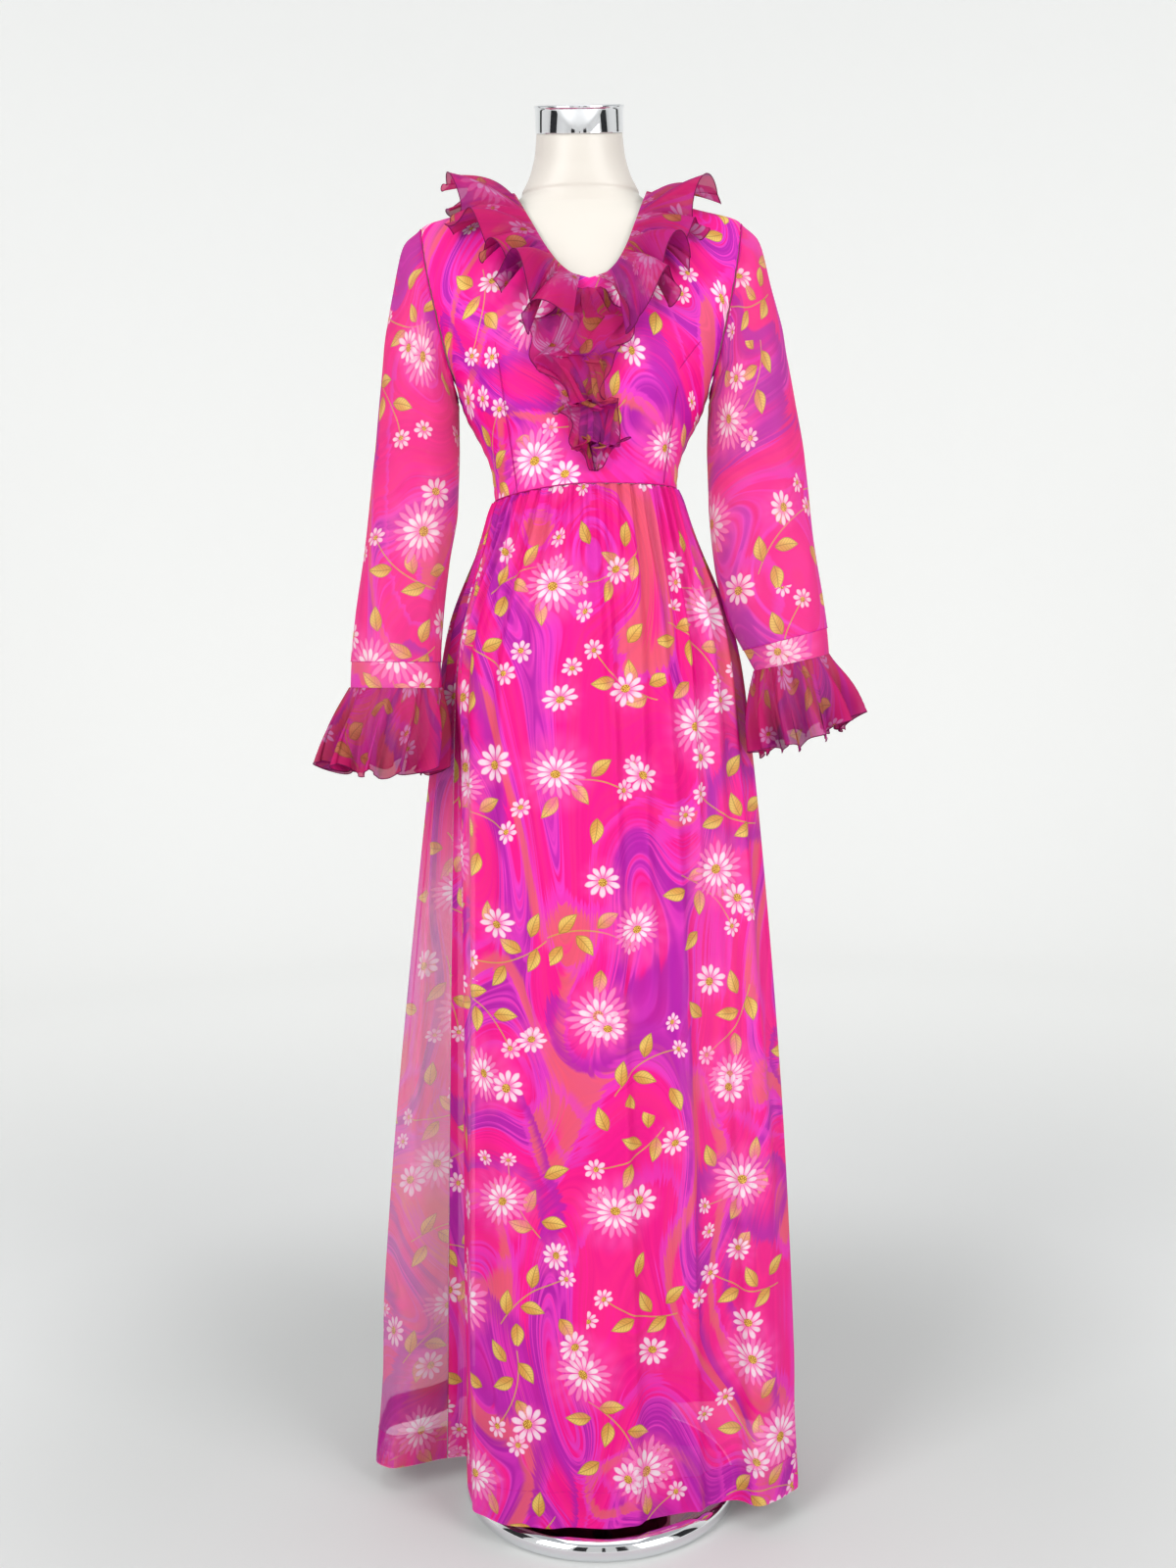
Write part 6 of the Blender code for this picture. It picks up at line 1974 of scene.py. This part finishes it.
# %% [markdown]
# ## Zip
#
# The zip closes the centre back from the neck to the hip. Its teeth are a fine coil that meets in
# the middle of the tape, and the slider sits at the top, held by the closed zip. Its pull tab hangs
# from the slider's bridge and swings there, so it is the one piece that moves.

# %% Tape and teeth
def back_line(z):
    """The cloth's line at centre back, down the bodice and on down the skirt."""
    z = np.asarray(z, float)
    top = WAIST_Z - SKIRT_DROP
    drop = np.clip((top - z) / (top - HEM_Z) * SKIRT_LENGTH, 0.0, None)
    swell = GATHER_DEPTH * (1 + drop / 0.05) * np.exp(-((drop / 0.11) ** 1.3))
    plan, _ = skirt_base(drop * 0.0 + 0.5, drop)
    return np.where(z >= WAIST_Z - 0.0002, body_y(0.0, z, 1) + 0.0002, plan[..., 1] + swell)


TAPE_HALF = 0.0030
tape_z = np.linspace(ZIP_FOOT_Z + 0.001, ZIP_TOP_Z - 0.001, 200)[:, None]
tape_x = np.linspace(TAPE_HALF, -TAPE_HALF, 9)[None, :]
tape_points = at_points(tape_x, back_line(tape_z) + 0.0007, tape_z + tape_x * 0)
zip_tape = cloth_sheet("zip_tape_cloth", tape_points, tape_weave)

BOX_FACES = [(0, 1, 3, 2), (4, 6, 7, 5), (0, 4, 5, 1), (2, 3, 7, 6), (0, 2, 6, 4), (1, 5, 7, 3)]


def small_box(centre, size):
    corners = [(i, j, k) for i in (-0.5, 0.5) for j in (-0.5, 0.5) for k in (-0.5, 0.5)]
    return np.array(centre) + np.array(corners) * np.array(size), BOX_FACES


teeth = []
for count, z in enumerate(np.arange(ZIP_FOOT_Z + 0.004, SLIDER_Z - 0.008, 0.0013)):
    x = 0.0004 if count % 2 else -0.0004
    teeth.append(small_box((x, float(back_line(z)) + 0.0013, z), (0.0017, 0.0008, 0.0008)))
zip_teeth = joined("zip_teeth", teeth, tape_weave)

# %% Slider and pull
SLIDER_SEAT, PULL_LENGTH, PULL_OUT, CLOTH_WALL = 0.0075, 0.017, 0.0049, 0.0015
low_y, high_y = float(back_line(SLIDER_Z - SLIDER_SEAT)), float(back_line(SLIDER_Z + SLIDER_SEAT))
LEAN = math.atan((low_y - high_y) / (2 * SLIDER_SEAT))
SEAT = (
    Vector((0.0, (low_y + high_y) / 2, SLIDER_Z))
    + Vector((0.0, math.cos(LEAN), math.sin(LEAN))) * CLOTH_WALL
)


def rounded_block(name, outline, thickness, finish, place):
    """A flat plate from an outline of (x, z), thick in y, with its edges bevelled."""
    mesh = bpy.data.meshes.new(name)
    half = thickness / 2
    count = len(outline)
    corners = [(x, -half, z) for x, z in outline] + [(x, half, z) for x, z in outline]
    faces = [tuple(range(count)), tuple(range(2 * count - 1, count - 1, -1))]
    faces += [(i, i + count, (i + 1) % count + count, (i + 1) % count) for i in range(count)]
    mesh.from_pydata(corners, [], faces)
    mesh.materials.append(finish)
    obj = link(bpy.data.objects.new(name, mesh))
    bevel = obj.modifiers.new("edges", "BEVEL")
    bevel.width, bevel.segments, bevel.limit_method = thickness * 0.22, 3, "ANGLE"
    obj.matrix_world = place
    return obj


slider_side = [(0.0026, -0.0058), (0.0032, -0.001), (0.0033, 0.0030), (0.0024, 0.0040)]
slider_outline = [(-0.0026, -0.0058)] + slider_side
slider_outline += [(-x, z) for x, z in slider_side[:0:-1]]
turn = Matrix.Translation(SEAT) @ Matrix.Rotation(LEAN, 4, "X")
slider = rounded_block(
    "zip_slider_body", slider_outline, 0.0022, nickel, turn @ Matrix.Translation((0, 0.0015, 0))
)
lug_outline = [(-0.0005, -0.0014), (0.0005, -0.0014), (0.0005, 0.0014), (-0.0005, 0.0014)]
lugs = [
    rounded_block(
        f"slider_lug_{hand}", lug_outline, 0.0038, nickel,
        turn @ Matrix.Translation((hand * 0.0024, 0.0041, 0)),
    )
    for hand in (-1, 1)
]
axis_place = SEAT + Matrix.Rotation(LEAN, 3, "X") @ Vector((0.0, PULL_OUT, 0.0))
slant = max(
    math.atan(
        (float(back_line(axis_place.z - PULL_LENGTH * s)) + CLOTH_WALL + 0.0016 - axis_place.y)
        / (PULL_LENGTH * s)
    )
    for s in (0.5, 0.75, 1.0)
)
pull_outline = [(-0.0011, 0.0006), (0.0011, 0.0006), (0.0014, -0.0050), (0.0015, -0.0140)]
pull_outline += [
    (0.0015 * math.cos(a), -0.0148 + 0.0015 * math.sin(a)) for a in np.linspace(0, -math.pi, 9)
]
pull_outline += [(-0.0015, -0.0140), (-0.0014, -0.0050)]
pull_place = Matrix.Translation(axis_place) @ Matrix.Rotation(slant, 4, "X")
pull = rounded_block("zip_pull_tab", pull_outline, 0.0009, nickel, pull_place)
print("slider seat:", [round(v, 4) for v in SEAT], "lean:", round(math.degrees(LEAN), 1))

# %% [markdown]
# ## Stitches
#
# The lining and the tape are sewn in by hand-sized stitches: a row along each side of the zip, and
# a row round the top of the turned-up hem, which a dressmaker slips so that it barely shows.

# %% Stitch rows
shapes = []
for hand in (-1, 1):
    z = np.linspace(ZIP_FOOT_Z + 0.01, ZIP_TOP_Z - 0.006, 160)
    line = at_points(hand * 0.0075, back_line(z) + 0.0014, z)
    high = z > WAIST_Z
    line[high, 1] = body_y(hand * 0.0075, z[high], 1) + 0.0012
    shapes += stitch_row(line[high], 0.0034, 0.00018, (0.0, 0.0003, 0.0))
zip_stitches = joined("zip_stitches", shapes, seam_thread)
shapes = []
for name, (first, last, columns, shift, finish) in SKIRT_PANELS.items():
    line = skirt_points(first, last, columns, 2, SKIRT_LENGTH - 0.043, SKIRT_LENGTH - 0.039)[1]
    shapes += stitch_row(line, 0.0075, 0.00020, (0.0, 0.0, 0.0004))
hem_stitches = joined("hem_stitches", shapes, seam_thread)

# %% [markdown]
# ## What each piece is
#
# Every piece rides a body of the model, and a sheet takes the place of its solid. The table gives
# each sheet's cut as it lies flat, its width and length in metres and the area of that cut, which a
# dressmaker would mark out before any gathering.

# %% Cuts
Cut = namedtuple("Cut", "piece slot width length area held rests_on")
PRINT, SLEEVE_PRINT, SINGLE = "printed_chiffon", "printed_chiffon_sleeve", "single_chiffon"
SHEER, SATIN = "sheer_chiffon", "lining_cloth"
ON_FRONT, ON_FORM = "bodice_front_cloth", "form_shell"
CUTS = [
    Cut(bodice_front, PRINT, 0.44, 0.36, 0.112, "stretched", ON_FORM),
    Cut(backs["left"], PRINT, 0.24, 0.35, 0.058, "stretched", ON_FORM),
    Cut(backs["right"], PRINT, 0.24, 0.35, 0.058, "stretched", ON_FORM),
    Cut(sleeves["left"], SLEEVE_PRINT, 0.34, 0.56, 0.128, "hung", ON_FORM),
    Cut(sleeves["right"], SLEEVE_PRINT, 0.34, 0.56, 0.128, "hung", ON_FORM),
    Cut(bands["left"], SLEEVE_PRINT, 0.27, 0.032, None, "hung", "sleeve_left_cloth"),
    Cut(bands["right"], SLEEVE_PRINT, 0.29, 0.034, None, "hung", "sleeve_right_cloth"),
    Cut(cuffs["left"], SINGLE, 0.60, 0.095, None, "gathered", "wrist_band_left_cloth"),
    Cut(cuffs["right"], SINGLE, 0.60, 0.095, None, "gathered", "wrist_band_right_cloth"),
    Cut(neck_frills["left"], SINGLE, 0.85, 0.065, None, "gathered", ON_FRONT),
    Cut(neck_frills["right"], SINGLE, 0.85, 0.065, None, "gathered", ON_FRONT),
    Cut(jabot, SINGLE, 0.17, 0.24, 0.031, "gathered", ON_FRONT),
    Cut(skirts["skirt_front"], SHEER, 0.66, 1.19, 0.585, "gathered", "lining_front_cloth"),
    Cut(skirts["skirt_back_left"], SHEER, 0.50, 1.20, 0.435, "gathered", "lining_back_cloth"),
    Cut(skirts["skirt_back_right"], SHEER, 0.42, 1.19, 0.366, "gathered", "lining_back_cloth"),
    Cut(linings["lining_front"], SATIN, 0.42, 1.12, 0.41, "hung", ON_FORM),
    Cut(linings["lining_back"], SATIN, 0.42, 1.12, 0.41, "hung", ON_FORM),
]
for cut in CUTS:
    node = cut.piece.name.removesuffix("_cloth")
    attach(cut.piece, "root")
    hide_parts(node)
    stated = cut.area or round(cut.width * cut.length, 4)
    print(node, "cut, m2:", stated, "measured:", round(area_of(cut.piece), 4))

# %% The rest of the pieces
OTHERS = [
    (shell, "form_bust", "form_shell"),
    (neck_cap, "form_neck_cap", "chrome"),
    (base, "form_base", "chrome"),
    (pole, "form_pole", "chrome"),
    (zip_tape, "zip_tape", "zip_tape_cloth"),
    (slider, "zip_slider", "zip_metal"),
]
for piece, node, slot in OTHERS:
    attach(piece, "root")
    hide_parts(node)
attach(pull, "zip_pull")
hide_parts("zip_pull")
sewn_on = [seam_lines, zip_teeth, zip_stitches, hem_stitches]
for piece in rolled_edges + allowances + list(hems.values()) + lugs + sewn_on:
    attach(piece, "root")
triangles = sum(len(p.data.polygons) * 2 for p in bpy.data.objects if p.type == "MESH")
print("triangles, about:", triangles)
